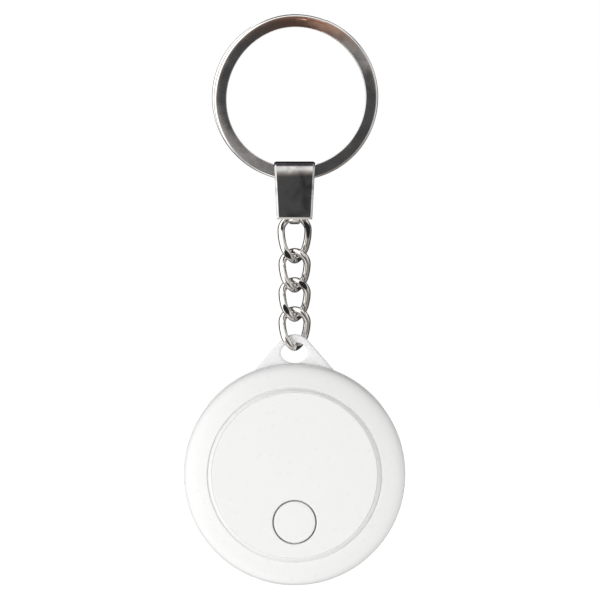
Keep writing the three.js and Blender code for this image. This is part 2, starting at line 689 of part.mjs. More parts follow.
function tray_screws() {
  const head_front = BOARD_BACK_Y + SEAT_GAP + EAR_T + SEAT_GAP;
  const head_top = head_front + SCREW_HEAD_T;
  return screw_places().map(([x, z], i) => {
    const outline = new THREE.Path();
    outline.moveTo(0, SCREW_TIP_Y);
    outline.lineTo(SCREW_TIP_R, SCREW_TIP_Y);
    outline.lineTo(SCREW_R, SCREW_TIP_Y + SCREW_TIP_H);
    outline.lineTo(SCREW_R, head_front);
    outline.lineTo(SCREW_HEAD_R, head_front);
    outline.lineTo(SCREW_HEAD_R, head_front + SCREW_HEAD_EDGE_H);
    outline.lineTo(SCREW_HEAD_TOP_R, head_top);
    outline.lineTo(0, head_top);
    const recess = (width, height) => (
      block(0, 0, width, height, head_top - SCREW_CROSS_DEPTH, head_top + OVERCUT)
    );
    const screw = turned(outline)
      .subtract(recess(SCREW_CROSS_L, SCREW_CROSS_W))
      .subtract(recess(SCREW_CROSS_W, SCREW_CROSS_L));
    const piece = mesh(`tray_screw_${i + 1}`, screw, screw_steel);
    piece.position.set(x, 0, z);
    return piece;
  });
}

function sounder() {
  const plate_front = FRONT_INNER_Y + SEAT_GAP;
  const ceramic_front = plate_front + SOUNDER_T + SEAT_GAP;
  const disc = (radius, front) => (
    round_bar(radius, front, front + SOUNDER_T, 0, SOUNDER_Z, MIDDLE_TURN_STEPS)
  );
  return [
    mesh('sounder_plate', disc(SOUNDER_PLATE_R, plate_front), brass),
    mesh('sounder_ceramic', disc(SOUNDER_CERAMIC_R, ceramic_front), ceramic),
  ];
}

// ---------------------------------------------------------------- battery door

function battery_door() {
  const inner_y = DOOR_Y - DOOR_T;
  const outline = new THREE.Path();
  const groove = SEAL_R + SEAT_GAP;
  outline.moveTo(0, DOOR_Y);
  outline.lineTo(DOOR_R - DOOR_EDGE, DOOR_Y);
  outline.lineTo(DOOR_R, DOOR_Y - DOOR_EDGE);
  outline.lineTo(DOOR_R, SEAL_GROOVE_Y + groove);
  outline.lineTo(DOOR_R - 2 * SEAL_R, SEAL_GROOVE_Y + groove);
  outline.lineTo(DOOR_R - 2 * SEAL_R, SEAL_GROOVE_Y - groove);
  outline.lineTo(DOOR_R, SEAL_GROOVE_Y - groove);
  outline.lineTo(DOOR_R, SKIRT_FRONT_Y);
  outline.lineTo(SKIRT_INNER_R, SKIRT_FRONT_Y);
  outline.lineTo(SKIRT_INNER_R, inner_y);
  outline.lineTo(0, inner_y);
  let door = turned(outline, TURN_STEPS);
  for (let i = 0; i < LUG_COUNT; i += 1) {
    const middle = (i / LUG_COUNT) * 2 * Math.PI;
    door = door.add(ring_sector(
      DOOR_R - BAYONET_ROOT,
      DOOR_R + BAYONET_REACH,
      BAYONET_FRONT_Y,
      BAYONET_BACK_Y,
      middle - BAYONET_SPAN / 2,
      middle + BAYONET_SPAN / 2,
    ));
  }
  const slot = new THREE.Shape();
  const end = (COIN_SLOT_L - COIN_SLOT_W) / 2;
  slot.absarc(end, 0, COIN_SLOT_W / 2, -Math.PI / 2, Math.PI / 2, false);
  slot.absarc(-end, 0, COIN_SLOT_W / 2, Math.PI / 2, 3 * Math.PI / 2, false);
  door = door.subtract(plate(slot, DOOR_Y - COIN_SLOT_DEPTH, DOOR_Y + OVERCUT));
  return mesh('battery_door', door, white_plastic);
}

function door_seal() {
  const outline = new THREE.Path();
  outline.absarc(DOOR_R - SEAL_R + SEAT_GAP, SEAL_GROOVE_Y, SEAL_R, 0, 2 * Math.PI, false);
  return mesh('door_seal', turned(outline, TURN_STEPS, 3), silicone);
}

// ---------------------------------------------------------------- assembly

const tag = new THREE.Group();
tag.position.z = TAG_Z;
tag.add(
  front_shell(),
  rear_shell(),
  shell_gasket(),
  ...button_parts(),
  circuit_board(),
  ...board_parts(),
  negative_contact(),
  positive_contact(),
  battery_cell(),
  battery_tray(),
  ...tray_screws(),
  ...sounder(),
  battery_door(),
  door_seal(),
);

const tracker = new THREE.Group();
tracker.add(split_ring(), ring_strap(), ...chain_links(), tag);

export default tracker;
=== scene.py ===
"""Looks of the key tracker tag: fine surfaces, materials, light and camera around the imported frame.

The pieces' lengths are millimetres until a mesh is made. Materials, lights and the stage are in metres.
+Z is up the hanging line, and the button side faces -Y.
"""

import json
import math

import bpy
from mathutils import Matrix, Vector


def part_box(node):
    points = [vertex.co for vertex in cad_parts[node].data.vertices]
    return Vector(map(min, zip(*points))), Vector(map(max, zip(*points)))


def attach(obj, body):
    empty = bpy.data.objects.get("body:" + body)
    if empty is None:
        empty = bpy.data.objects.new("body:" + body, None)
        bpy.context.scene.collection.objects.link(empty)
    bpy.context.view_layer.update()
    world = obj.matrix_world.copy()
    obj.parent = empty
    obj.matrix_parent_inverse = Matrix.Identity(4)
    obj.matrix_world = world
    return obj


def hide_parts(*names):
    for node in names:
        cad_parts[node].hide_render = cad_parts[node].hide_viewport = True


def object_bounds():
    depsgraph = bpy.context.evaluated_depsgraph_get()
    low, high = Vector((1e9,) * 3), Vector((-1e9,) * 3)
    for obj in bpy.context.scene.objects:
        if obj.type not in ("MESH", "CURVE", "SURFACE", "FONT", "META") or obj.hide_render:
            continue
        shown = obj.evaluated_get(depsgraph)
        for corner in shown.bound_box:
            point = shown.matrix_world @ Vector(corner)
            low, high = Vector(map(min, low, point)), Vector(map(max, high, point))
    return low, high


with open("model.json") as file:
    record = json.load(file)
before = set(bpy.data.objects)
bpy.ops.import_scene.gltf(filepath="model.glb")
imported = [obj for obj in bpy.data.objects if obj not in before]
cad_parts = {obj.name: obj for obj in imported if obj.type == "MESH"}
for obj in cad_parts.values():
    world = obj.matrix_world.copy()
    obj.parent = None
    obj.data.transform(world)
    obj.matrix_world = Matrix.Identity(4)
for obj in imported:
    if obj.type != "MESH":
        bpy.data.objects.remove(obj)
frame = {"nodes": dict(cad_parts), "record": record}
cad_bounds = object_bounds()
scene = bpy.context.scene

MM = 0.001
TAU = 2 * math.pi


def centre_of(node):
    low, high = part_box(node)
    return (low + high) / 2 / MM


def size_of(node):
    low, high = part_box(node)
    return (high - low) / MM


RING_CENTRE = centre_of("split_ring")
STRAP_TOP_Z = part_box("ring_strap")[1].z / MM
TAG_Z = centre_of("front_shell").z
BUTTON_CENTRE = centre_of("button_cap")
MIDDLE = (cad_bounds[0] + cad_bounds[1]) / 2


# -------------------------------- camera

LENS = 200
SENSOR_W = 36
PICTURE_W = 108.2  # what the picture spans at the object
CAMERA_X = 0.97
CAMERA_BELOW_MIDDLE = 0.1

camera = bpy.data.objects.new("camera", bpy.data.cameras.new("camera"))
scene.collection.objects.link(camera)
camera.data.lens = LENS
camera.data.sensor_width = SENSOR_W
camera_distance = PICTURE_W * MM * LENS / SENSOR_W
camera.location = (CAMERA_X * MM, -camera_distance, MIDDLE.z - CAMERA_BELOW_MIDDLE * MM)
camera.rotation_euler = (math.radians(90), 0, 0)
scene.camera = camera


# -------------------------------- material helpers


class Nodes:
    """A material's node tree, with short ways to add and link nodes. A glowing one only emits light."""

    def __init__(self, name, glowing=False):
        self.material = bpy.data.materials.new(name)
        self.material.use_nodes = True
        self.tree = self.material.node_tree
        self.shader = self.tree.nodes["Principled BSDF"]
        if glowing:
            self.tree.nodes.remove(self.shader)
            self.shader = self.add("ShaderNodeEmission")
            self.link(self.shader.outputs[0], self.tree.nodes["Material Output"].inputs["Surface"])
        self.coords = self.add("ShaderNodeTexCoord").outputs["Object"]

    def add(self, kind, **values):
        node = self.tree.nodes.new(kind)
        for key, value in values.items():
            setattr(node, key, value)
        return node

    def link(self, source, target):
        self.tree.links.new(source, target)

    def feed(self, socket, value):
        """Links a socket to value, or sets it where value is a plain one."""
        if isinstance(value, bpy.types.NodeSocket):
            self.link(value, socket)
        else:
            socket.default_value = (*value, 1) if socket.type == "RGBA" else value

    def set(self, **values):
        for key, value in values.items():
            self.feed(self.shader.inputs[key.replace("_", " ")], value)

    def stretched(self, scale, turn=(0, 0, 0)):
        node = self.add("ShaderNodeMapping")
        node.inputs["Scale"].default_value = scale
        node.inputs["Rotation"].default_value = turn
        self.link(self.coords, node.inputs["Vector"])
        return node.outputs["Vector"]

    def noise(self, scale, detail=3, rough=0.5, vector=None, distortion=0.0):
        node = self.add("ShaderNodeTexNoise")
        node.inputs["Scale"].default_value = scale
        node.inputs["Detail"].default_value = detail
        node.inputs["Roughness"].default_value = rough
        node.inputs["Distortion"].default_value = distortion
        self.link(vector or self.coords, node.inputs["Vector"])
        return node.outputs["Fac"]

    def span(self, source, low, high, start=0.3, end=0.7):
        """source, from start to end, as a number from low to high."""
        node = self.add("ShaderNodeMapRange")
        node.inputs["From Min"].default_value = start
        node.inputs["From Max"].default_value = end
        node.inputs["To Min"].default_value = low
        node.inputs["To Max"].default_value = high
        self.link(source, node.inputs["Value"])
        return node.outputs["Result"]

    def ramp(self, source, *stops):
        node = self.add("ShaderNodeValToRGB")
        ends = node.color_ramp.elements
        while len(ends) < len(stops):
            ends.new(0.5)
        for element, (place, colour) in zip(ends, stops):
            element.position = place
            element.color = (*colour, 1)
        self.link(source, node.inputs["Fac"])
        return node.outputs["Color"]

    def mix(self, factor, a, b):
        node = self.add("ShaderNodeMix", data_type="RGBA")
        for index, value in ((0, factor), (6, a), (7, b)):
            self.feed(node.inputs[index], value)
        return node.outputs[2]

    def maths(self, operation, a, b=0):
        node = self.add("ShaderNodeMath", operation=operation)
        self.feed(node.inputs[0], a)
        self.feed(node.inputs[1], b)
        return node.outputs[0]

    def split(self, vector):
        """The vector's x, y and z."""
        node = self.add("ShaderNodeSeparateXYZ")
        self.link(vector, node.inputs[0])
        return node.outputs

    def worn(self):
        """1 on the parts of a mesh that its worn attribute marks."""
        return self.add("ShaderNodeAttribute", attribute_name="worn").outputs["Fac"]

    def bump(self, height, distance, strength=1.0, under=None):
        node = self.add("ShaderNodeBump")
        node.inputs["Distance"].default_value = distance
        node.inputs["Strength"].default_value = strength
        self.link(height, node.inputs["Height"])
        if under is not None:
            self.link(under, node.inputs["Normal"])
        self.link(node.outputs["Normal"], self.shader.inputs["Normal"])
        return node.outputs["Normal"]


# -------------------------------- materials

BRIGHT_NICKEL = (0.95, 0.95, 0.94)
# Painted dark reflection: the colour of the chain's filed flats, standing in for the dark front they
# mirror.
PAINTED_DARK_REFLECTION = (0.24, 0.24, 0.25)
# The brownish colour of the ring's faces at its top.
RING_TOP_BROWN = (0.76, 0.44, 0.31)


def scratched(m, rough, grain, smear, haze=0.0):
    """Makes m a metal with crossing scratches over a faint orange peel. haze adds to its roughness."""
    m.set(Metallic=1.0)
    hair = m.noise(900, 4, 0.65, vector=m.stretched((1, 1, 14), (0.5, 0.3, 0.9)))
    cross = m.noise(900, 4, 0.65, vector=m.stretched((14, 1, 1), (0.2, -0.6, 0.4)))
    scratches = m.maths("MULTIPLY", hair, cross)
    wear = m.maths("ADD", m.span(m.noise(420, 3, 0.55), rough * 0.7, rough * 1.4), haze)
    m.set(Roughness=m.maths("ADD", wear, m.span(scratches, 0, smear, 0.3, 0.42)))
    peel = m.bump(m.noise(700, 2, 0.5), grain)
    m.bump(scratches, grain * 0.4, 0.4, under=peel)


def nickel(name, dark, light, worn, rough, grain, smear):
    """Polished nickel plate with smudges between dark and light. worn is its colour on the marked parts:
    wear on the strap's foot and hook, a painted dark reflection on the chain's filed flats.
    """
    m = Nodes(name)
    smudged = m.ramp(m.noise(260, 5, 0.55, distortion=0.6), (0.38, dark), (0.6, light))
    m.set(Base_Color=m.mix(m.worn(), smudged, worn))
    scratched(m, rough, grain, smear)
    return m.material


def ring_wire_nickel(name, rough, grain):
    """The ring's nickel: brighter on its edges, darker on its flat faces.

    The faces are brownish at the ring's top, and hazy at its upper right and lower left.
    """
    m = Nodes(name)
    smudge = m.noise(230, 4, 0.55, distortion=0.4)
    dull = m.ramp(smudge, (0.3, (0.5, 0.495, 0.49)), (0.7, (0.76, 0.755, 0.75)))
    x, _, z = m.split(m.coords)
    uneven = m.maths("ADD", z, m.span(m.noise(300, 3, 0.6), -0.0012, 0.0012))
    height = m.maths("SUBTRACT", uneven, RING_CENTRE.z * MM)
    top = m.maths("MULTIPLY", m.span(height, 0, 1, 0.008, 0.012), m.span(x, 0.3, 0.85, -0.008, -0.001))
    worn = m.worn()
    m.set(Base_Color=m.mix(worn, BRIGHT_NICKEL, m.mix(top, dull, RING_TOP_BROWN)))
    diagonal = m.maths("ABSOLUTE", m.maths("ADD", m.maths("MULTIPLY", x, 0.9), height))
    hazy = m.maths("MULTIPLY", m.span(diagonal, 0, 1, 0.013, 0.018), worn)
    scratched(m, rough, grain, 0.04, m.maths("MULTIPLY", hazy, 0.25))
    return m.material


def moulded(name, base, rough, grain, coarse, subsurface, mottle=0.02):
    """Moulded plastic: fine tool texture, faint flow mottling, slightly uneven gloss."""
    m = Nodes(name)
    shade = tuple(c * (1 - mottle) for c in base)
    m.set(Base_Color=m.mix(m.noise(160, 3, 0.55), shade, base))
    m.set(Roughness=m.span(m.noise(900, 4, 0.6), rough * 0.85, rough * 1.2))
    m.set(IOR=1.49, Subsurface_Weight=subsurface, Subsurface_Scale=0.0012)
    m.set(Subsurface_Radius=(1.0, 0.95, 0.9))
    fine = m.bump(m.noise(coarse, 3, 0.6), grain)
    m.bump(m.noise(220, 2, 0.5), grain * 6, 0.5, under=fine)
    return m.material


def steel(name, base, rough, along=(1, 30, 30)):
    """Rolled or plated steel, with a fine grain along one direction and a few dull spots."""
    m = Nodes(name)
    m.set(Metallic=1.0)
    lines = m.noise(700, 4, 0.6, vector=m.stretched(along))
    dull = tuple(c * 0.8 for c in base)
    m.set(Base_Color=m.mix(lines, dull, base))
    spots = m.span(m.noise(1200, 3, 0.6), 0, 0.12, 0.5, 0.7)
    m.set(Roughness=m.maths("ADD", m.span(lines, rough * 0.8, rough * 1.3), spots))
    m.bump(lines, 2e-6)
    return m.material


def speckled(name, dark, light, rough, scale, grain):
    """Fired ceramic, epoxy or rubber: a fine two-tone grain with its own relief."""
    m = Nodes(name)
    grain_noise = m.noise(scale, 4, 0.65)
    m.set(Base_Color=m.ramp(grain_noise, (0.35, dark), (0.65, light)))
    m.set(Roughness=m.span(m.noise(scale * 0.4, 3, 0.6), rough * 0.8, rough * 1.2))
    m.bump(grain_noise, grain)
    return m.material


def solder_resist(name):
    """Green board: copper traces seen through the resist as a raised cell pattern."""
    m = Nodes(name)
    cells = m.add("ShaderNodeTexVoronoi", distance="MANHATTAN", feature="DISTANCE_TO_EDGE")
    cells.inputs["Scale"].default_value = 420
    m.link(m.coords, cells.inputs["Vector"])
    trace = m.span(cells.outputs["Distance"], 1, 0, 0.05, 0.08)
    resist = m.mix(m.noise(500, 3, 0.6), (0.012, 0.085, 0.03), (0.02, 0.12, 0.045))
    m.set(Base_Color=m.mix(trace, resist, (0.04, 0.22, 0.08)))
    m.set(Roughness=m.span(m.noise(900, 3, 0.6), 0.25, 0.45))
    m.bump(trace, 2e-5)
    return m.material


# Each material slot's recipe and its values.
FINISHES = {
    "ring_nickel": (ring_wire_nickel, 0.14, 2e-6),
    "strap_nickel": (nickel, (0.3, 0.3, 0.31), (0.66, 0.66, 0.65), BRIGHT_NICKEL, 0.09, 3e-6, 0.04),
    # The chain's marked flats take a painted dark reflection.
    "chain_nickel": (nickel, (0.82, 0.81, 0.79), (0.92, 0.91, 0.89), PAINTED_DARK_REFLECTION, 0.05, 1e-6, 0.03),
    "shell_white": (moulded, (0.87, 0.87, 0.865), 0.3, 1e-6, 2600, 0.15),
    "lug_white": (moulded, (0.86, 0.862, 0.862), 0.34, 1e-6, 2600, 0.3),
    "button_white": (moulded, (0.87, 0.87, 0.865), 0.3, 1e-6, 2600, 0.15),
    "door_white": (moulded, (0.85, 0.85, 0.845), 0.48, 8e-6, 5200, 0.1, 0.03),
    "silicone_grey": (speckled, (0.08, 0.085, 0.09), (0.12, 0.125, 0.13), 0.75, 3000, 4e-6),
    "frame_black": (speckled, (0.012, 0.012, 0.013), (0.03, 0.03, 0.032), 0.55, 4200, 6e-6),
    "can_steel": (steel, (0.66, 0.66, 0.65), 0.24),
    "contact_nickel": (steel, (0.68, 0.66, 0.62), 0.2),
    "cell_steel": (steel, (0.62, 0.62, 0.62), 0.26, (30, 30, 1)),
    "screw_steel": (steel, (0.48, 0.48, 0.47), 0.32),
    "board_green": (solder_resist,),
    "chip_black": (speckled, (0.01, 0.01, 0.011), (0.028, 0.028, 0.03), 0.5, 6000, 5e-6),
    "ceramic_cream": (speckled, (0.62, 0.58, 0.46), (0.74, 0.7, 0.58), 0.6, 5200, 4e-6),
    "capacitor_tan": (speckled, (0.26, 0.17, 0.08), (0.4, 0.28, 0.15), 0.5, 5200, 4e-6),
    "sounder_brass": (steel, (0.72, 0.52, 0.24), 0.28, (1, 1, 30)),
}
MATERIALS = {name: recipe(name, *values) for name, (recipe, *values) in FINISHES.items()}
SLOT_OF = {part["node"]: part["material_slot"] for part in frame["record"]["subparts"]}
BODY_OF = {
    node: body
    for body, nodes in frame["record"]["behaviour"]["bodies"].items()
    for node in nodes
}

for name, slot in SLOT_OF.items():
    node = frame["nodes"][name]
    if node.material_slots:
        node.material_slots[0].material = MATERIALS[slot]
    else:
        node.data.materials.append(MATERIALS[slot])


# -------------------------------- mesh helpers


def new_mesh(name, vertices, faces):
    mesh = bpy.data.meshes.new(name)
    mesh.from_pydata([Vector(v) * MM for v in vertices], [], faces)
    mesh.validate()
    return mesh


def mark_wear_and_painted_dark(mesh, values):
    """Gives each vertex its share of the second colour, which Nodes.worn reads: wear on the strap, the
    ring's flat faces, and a painted dark reflection on the chain's flats.
    """
    mesh.attributes.new("worn", "FLOAT", "POINT").data.foreach_set("value", values)


def face_outwards(mesh):
    """Turns a closed mesh the right way out."""
    volume = 0.0
    for polygon in mesh.polygons:
        corners = [mesh.vertices[i].co for i in polygon.vertices]
        for b, c in zip(corners[1:], corners[2:]):
            volume += corners[0].dot(b.cross(c))
    if volume < 0:
        mesh.flip_normals()


def piece(name, node, mesh, sharp=32):
    """A finished visible piece that stands for a CAD node and rides on its body."""
    face_outwards(mesh)
    mesh.shade_smooth()
    mesh.set_sharp_from_angle(angle=math.radians(sharp))
    mesh.materials.append(MATERIALS[SLOT_OF[node]])
    made = bpy.data.objects.new(name, mesh)
    scene.collection.objects.link(made)
    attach(made, BODY_OF[node])
    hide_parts(node)
    return made


def skin(loops, closed=False, start_cap=False, end_cap=False):
    """Faces over a row of loops that all have the same number of points."""
    count = len(loops[0])
    vertices = [point for loop in loops for point in loop]
    faces = []
    for i in range(len(loops) if closed else len(loops) - 1):
        a = i * count
        b = (i + 1) % len(loops) * count
        for k in range(count):
            n = (k + 1) % count
            faces.append((a + k, a + n, b + n, b + k))
    if start_cap:
        faces.append(tuple(reversed(range(count))))
    if end_cap:
        faces.append(tuple(range(len(vertices) - count, len(vertices))))
    return vertices, faces


def rounded(corners, steps):
    """A path through corners of (a, b, radius), each rounded off in some steps."""
    path = []
    for i, (a, b, radius) in enumerate(corners):
        here = Vector((a, b))
        if not radius:
            path.append((a, b))
            continue
        back = Vector(corners[i - 1][:2]) - here
        ahead = Vector(corners[(i + 1) % len(corners)][:2]) - here
        reach = radius / math.tan(back.angle(ahead) / 2)
        start = here + back.normalized() * min(reach, back.length * 0.49)
        end = here + ahead.normalized() * min(reach, ahead.length * 0.49)
        for step in range(steps + 1):
            t = step / steps
            point = start * (1 - t) ** 2 + here * 2 * t * (1 - t) + end * t**2
            path.append((point.x, point.y))
    return path


def circle(radius, y, count, z=0.0, phase=0.0):
    return [
        (radius * math.cos(phase + TAU * k / count), y, z + radius * math.sin(phase + TAU * k / count))
        for k in range(count)
    ]


def turned_loops(path, count, z=0.0):
    return [circle(radius, y, count, z) for radius, y in path]


def between(loop_a, loop_b, steps, height=None):
    """Loops strictly between two loops. height, if given, makes y from a point's radius."""
    loops = []
    for step in range(1, steps):
        t = step / steps
        loop = []
        for a, b in zip(loop_a, loop_b):
            x, y, z = (a[i] + (b[i] - a[i]) * t for i in range(3))
            loop.append((x, height(math.hypot(x, z)) if height else y, z))
        loops.append(loop)
    return loops


def lift(loops, rise):
    return [[(x, y, z + rise) for x, y, z in loop] for loop in loops]


# -------------------------------- split ring

RING_WIRE_HALF_W = 1.15
RING_MIDDLE_R = size_of("split_ring").x / 2 - RING_WIRE_HALF_W
RING_TURN_T = 0.95
RING_PITCH = 1.01
RING_SPLIT = math.radians(68)
RING_JOG = math.radians(52)
RING_END_GAP = math.radians(2)
RING_STEPS = 720
RING_SHIFT = 0.08  # how far the ring hangs off the middle, sideways
RING_SQUEEZE = 0.46  # how far the front turn is out of round, where, and how far to each side
RING_SQUEEZE_AT = math.radians(155)
RING_SQUEEZE_SPAN = math.radians(80)
RING_CROWN = 0.05  # how far each face falls from its middle line to its sides
RING_FACE_MIDDLE = -0.22
RING_FACE_HALF_W = 0.89
RING_FACE_STEPS = 12
RING_ROLL_D = 0.42  # depth of the rounding between a face and the outer edge, and its points
RING_ROLL_TURNS = (0.3, 0.6, 0.9, 1.2, 1.5)
RING_INNER_D = 0.03
RING_INNER_R = 0.05
RING_SCAR = math.radians(17)  # scratch beside the split, where the wire's end rubs
RING_SCAR_D = 0.14
RING_SCAR_FADE_IN = (-0.1, 0.15)
RING_SCAR_FADE_OUT = 0.15
RING_FOOT = -math.pi / 2  # where the strap hangs
RING_RUB = math.radians(17)  # half the arc that the strap rubs
RING_RUB_FADE = math.radians(1.2)
RING_RUB_W = 0.35  # how wide the rubbed inner edge is, how much of the wire is gone, and its slope
RING_RUB_D = 0.15
RING_RUB_SLOPE = 2.4


def smoothstep(x, low, high):
    t = min(1, max(0, (x - low) / (high - low)))
    return t * t * (3 - 2 * t)


def turn_between(a, b):
    """How far apart two angles are, at most half a turn."""
    return abs((a - b + math.pi) % TAU - math.pi)


def ring_section(scar, rub):
    """The flat wire's section, as radius outwards, depth, and 1 where the point is on a flat face.

    Both faces are slightly crowned and roll over into the outer edge. scar deepens a line in the front
    face, and rub rounds off the inner edge, where the strap wears it.
    """
    half = RING_TURN_T / 2
    rim = half - RING_CROWN
    face = []
    for k in range(RING_FACE_STEPS + 1):
        across = 2 * k / RING_FACE_STEPS - 1
        face.append((RING_FACE_MIDDLE + RING_FACE_HALF_W * across, half - RING_CROWN * across**2))
    face_end = face[-1][0]
    reach = RING_WIRE_HALF_W - face_end
    roll = [
        (face_end + reach * math.sin(t), rim - RING_ROLL_D * (1 - math.cos(t)))
        for t in RING_ROLL_TURNS
    ]
    inner_corner = (-RING_WIRE_HALF_W, rim - RING_INNER_D, RING_INNER_R)
    inner = rounded([(face[0][0], rim, 0), inner_corner, (-RING_WIRE_HALF_W, 0, 0)], 3)[1:-1]
    section = [(u, v, 1) for u, v in face] + [(u, v, 0) for u, v in roll]
    section += [(u, -v, 0) for u, v in reversed(roll)]
    section += [(u, -v + (scar if k == 2 else 0), 1) for k, (u, v) in enumerate(reversed(face))]
    section += [(u, -v, 0) for u, v in inner] + [(u, v, 0) for u, v in reversed(inner)]
    worn = []
    for u, v, flat in section:
        into_rub = max(0, min(RING_RUB_W - RING_WIRE_HALF_W - u, RING_RUB_W - RING_RUB_D))
        depth = half - rub * RING_RUB_SLOPE * into_rub
        worn.append((max(u, RING_RUB_D * rub - RING_WIRE_HALF_W), max(-depth, min(depth, v)), flat))
    return worn


def split_ring():
    """Two turns of flat wire. The front one starts at the split and steps over to the rear one."""
    length = 2 * TAU - RING_JOG - RING_END_GAP
    loops = []
    worn = []
    for step in range(RING_STEPS + 1):
        along = length * step / RING_STEPS
        layer = 2 * smoothstep(along, TAU - RING_JOG, TAU - RING_END_GAP) - 1
        angle = RING_SPLIT - along
        to_split = along - (TAU - RING_SCAR)
        fade_out = 1 - smoothstep(to_split, RING_SCAR, RING_SCAR + RING_SCAR_FADE_OUT)
        scar = RING_SCAR_D * smoothstep(to_split, *RING_SCAR_FADE_IN) * fade_out
        rub = 1 - smoothstep(turn_between(angle, RING_FOOT), RING_RUB, RING_RUB + RING_RUB_FADE)
        in_squeeze = 1 - smoothstep(turn_between(angle, RING_SQUEEZE_AT), 0, RING_SQUEEZE_SPAN)
        squeeze = RING_SQUEEZE * in_squeeze * (1 - layer) / 2
        loop = []
        for radial, depth, flat in ring_section(scar, rub):
            radius = RING_MIDDLE_R - squeeze + radial
            x = radius * math.cos(angle) + RING_SHIFT
            loop.append((x, (RING_PITCH / 2) * layer + depth, radius * math.sin(angle) + RING_CENTRE.z))
            worn.append(flat)
        loops.append(loop)
    mesh = new_mesh("split_ring_fine", *skin(loops, start_cap=True, end_cap=True))
    mark_wear_and_painted_dark(mesh, worn)
    return piece("split_ring_fine", "split_ring", mesh)


split_ring()


# -------------------------------- strap

SHEET_T = 0.45
ROLL_R = 2.225
ROLL_FRONT_H = 3.3  # the roll's front quarter is an ellipse, this high
ROLL_TOP_FLAT = 0.45
STRAP_AXIS_Z = STRAP_TOP_Z - ROLL_R - SHEET_T / 2
STRAP_DROP = 8.05
STRAP_TOP_W = 7.45
STRAP_BOTTOM_W = 6.35
HOOK_Z = -7.01
HOOK_R = 1.675
HOOK_W = 1.1
HOOK_TIP_Z = -5.95
SHOULDER_Z = -5.8  # where the rear leaf narrows to the hook, and how far below and above
SHOULDER_REACH = (0.05, 0.5)
BEVEL_W = 0.36
BEVEL_D = 0.2
BEVEL_SHARE = 0.28  # a bevel takes no more of the strip's width than this
LOWER_BEVEL_W = 0.35
LOWER_BEVEL_D = 0.25
INNER_BEVEL_W = 0.28
INNER_BEVEL_D = 0.1
SIDE_LEAST = 0.06  # the flat side left between the bevels
INNER_R = 0.1
SIDE_R = 0.04
OUTER_R = 0.14
OUTER_LEAST_R = 0.01
CREST_R = 0.06
HOOK_FLARE = 0.4
HOOK_FLARE_FROM = (0.75, 1.35)  # below the hook's centre, where the flare starts and is full
HOOK_INNER_W = 0.1
HOOK_INNER_D = 0.16


def strap_path():
    """The strip's middle line from its foot in front to the hook's tip: y and z from the roll's axis."""
    knee = ROLL_R - ROLL_FRONT_H
    path = [(-ROLL_R, -STRAP_DROP + (knee + STRAP_DROP) * i / 40) for i in range(40)]
    path += [
        (-ROLL_TOP_FLAT - (ROLL_R - ROLL_TOP_FLAT) * math.cos(t), knee + ROLL_FRONT_H * math.sin(t))
        for t in (math.pi / 2 * i / 40 for i in range(40))
    ]
    path += [(ROLL_TOP_FLAT * (i / 4 - 1), ROLL_R) for i in range(4)]
    path += [
        (ROLL_R * math.sin(t), ROLL_R * math.cos(t))
        for t in (math.pi / 2 * i / 24 for i in range(24))
    ]
    path += [(ROLL_R + (HOOK_R - ROLL_R) * i / 60, HOOK_Z * i / 60) for i in range(60)]
    path += [
        (HOOK_R * math.cos(t), HOOK_Z - HOOK_R * math.sin(t))
        for t in (math.pi * i / 40 for i in range(40))
    ]
    path += [(-HOOK_R, HOOK_Z + (HOOK_TIP_Z - HOOK_Z) * i / 6) for i in range(7)]
    return path


def strap_width(z, rear):
    up = (z + STRAP_DROP) / (STRAP_DROP + ROLL_R + SHEET_T / 2)
    full = STRAP_BOTTOM_W + (STRAP_TOP_W - STRAP_BOTTOM_W) * up
    if not rear:
        return full
    below, above = SHOULDER_REACH
    return HOOK_W + (full - HOOK_W) * smoothstep(z, SHOULDER_Z - below, SHOULDER_Z + above)


def strap_section(width, trim, flare):
    """Across the strip: its sides are bevelled. trim lowers the outer face at the strip's end.

    flare widens the outer face alone, as the hook's bend does to clear the round of the link.
    """
    half_w = width / 2 + flare * HOOK_FLARE
    inner_w = INNER_BEVEL_W + flare * (HOOK_FLARE + HOOK_INNER_W)
    inner_d = INNER_BEVEL_D + flare * HOOK_INNER_D
    half_t = SHEET_T / 2
    bevel = min(BEVEL_W, width * BEVEL_SHARE)
    outer = half_t - trim
    side_top = max(outer - BEVEL_D, inner_d + SIDE_LEAST - half_t)
    outer_r = OUTER_R * (1 - flare) + OUTER_LEAST_R
    return rounded(
        [
            (inner_w - half_w, -half_t, INNER_R),
            (-half_w, inner_d - half_t, SIDE_R),
            (-half_w, side_top, outer_r),
            (bevel - half_w, outer, CREST_R),
            (half_w - bevel, outer, CREST_R),
            (half_w, side_top, outer_r),
            (half_w, inner_d - half_t, SIDE_R),
            (half_w - inner_w, -half_t, INNER_R),
        ],
        3,
    )


def ring_strap():
    """One strip, rolled over the ring and hooked under the first link. Its foot and hook are worn."""
    path = strap_path()
    loops = []
    worn = []
    run = 0.0
    for i, (y, z) in enumerate(path):
        before = path[max(0, i - 1)]
        after = path[min(len(path) - 1, i + 1)]
        run += math.dist(before, path[i])
        along = Vector((after[0] - before[0], after[1] - before[1])).normalized()
        outward = Vector((-along.y, along.x))
        trim = LOWER_BEVEL_D * max(0, 1 - run / LOWER_BEVEL_W)
        rear = run > STRAP_DROP + ROLL_R
        flare = smoothstep(HOOK_Z - z, *HOOK_FLARE_FROM) if rear else 0
        loop = []
        for across, depth in strap_section(strap_width(z, rear), trim, flare):
            point = Vector((y, z)) + outward * depth
            loop.append((across, point.x, point.y + STRAP_AXIS_Z))
        loops.append(loop)
        hook = rear and z < SHOULDER_Z
        worn += [1.0 if trim or hook else 0.0] * len(loop)
    mesh = new_mesh("ring_strap_fine", *skin(loops, start_cap=True, end_cap=True))
    mark_wear_and_painted_dark(mesh, worn)
    return piece("ring_strap_fine", "ring_strap", mesh)


ring_strap()


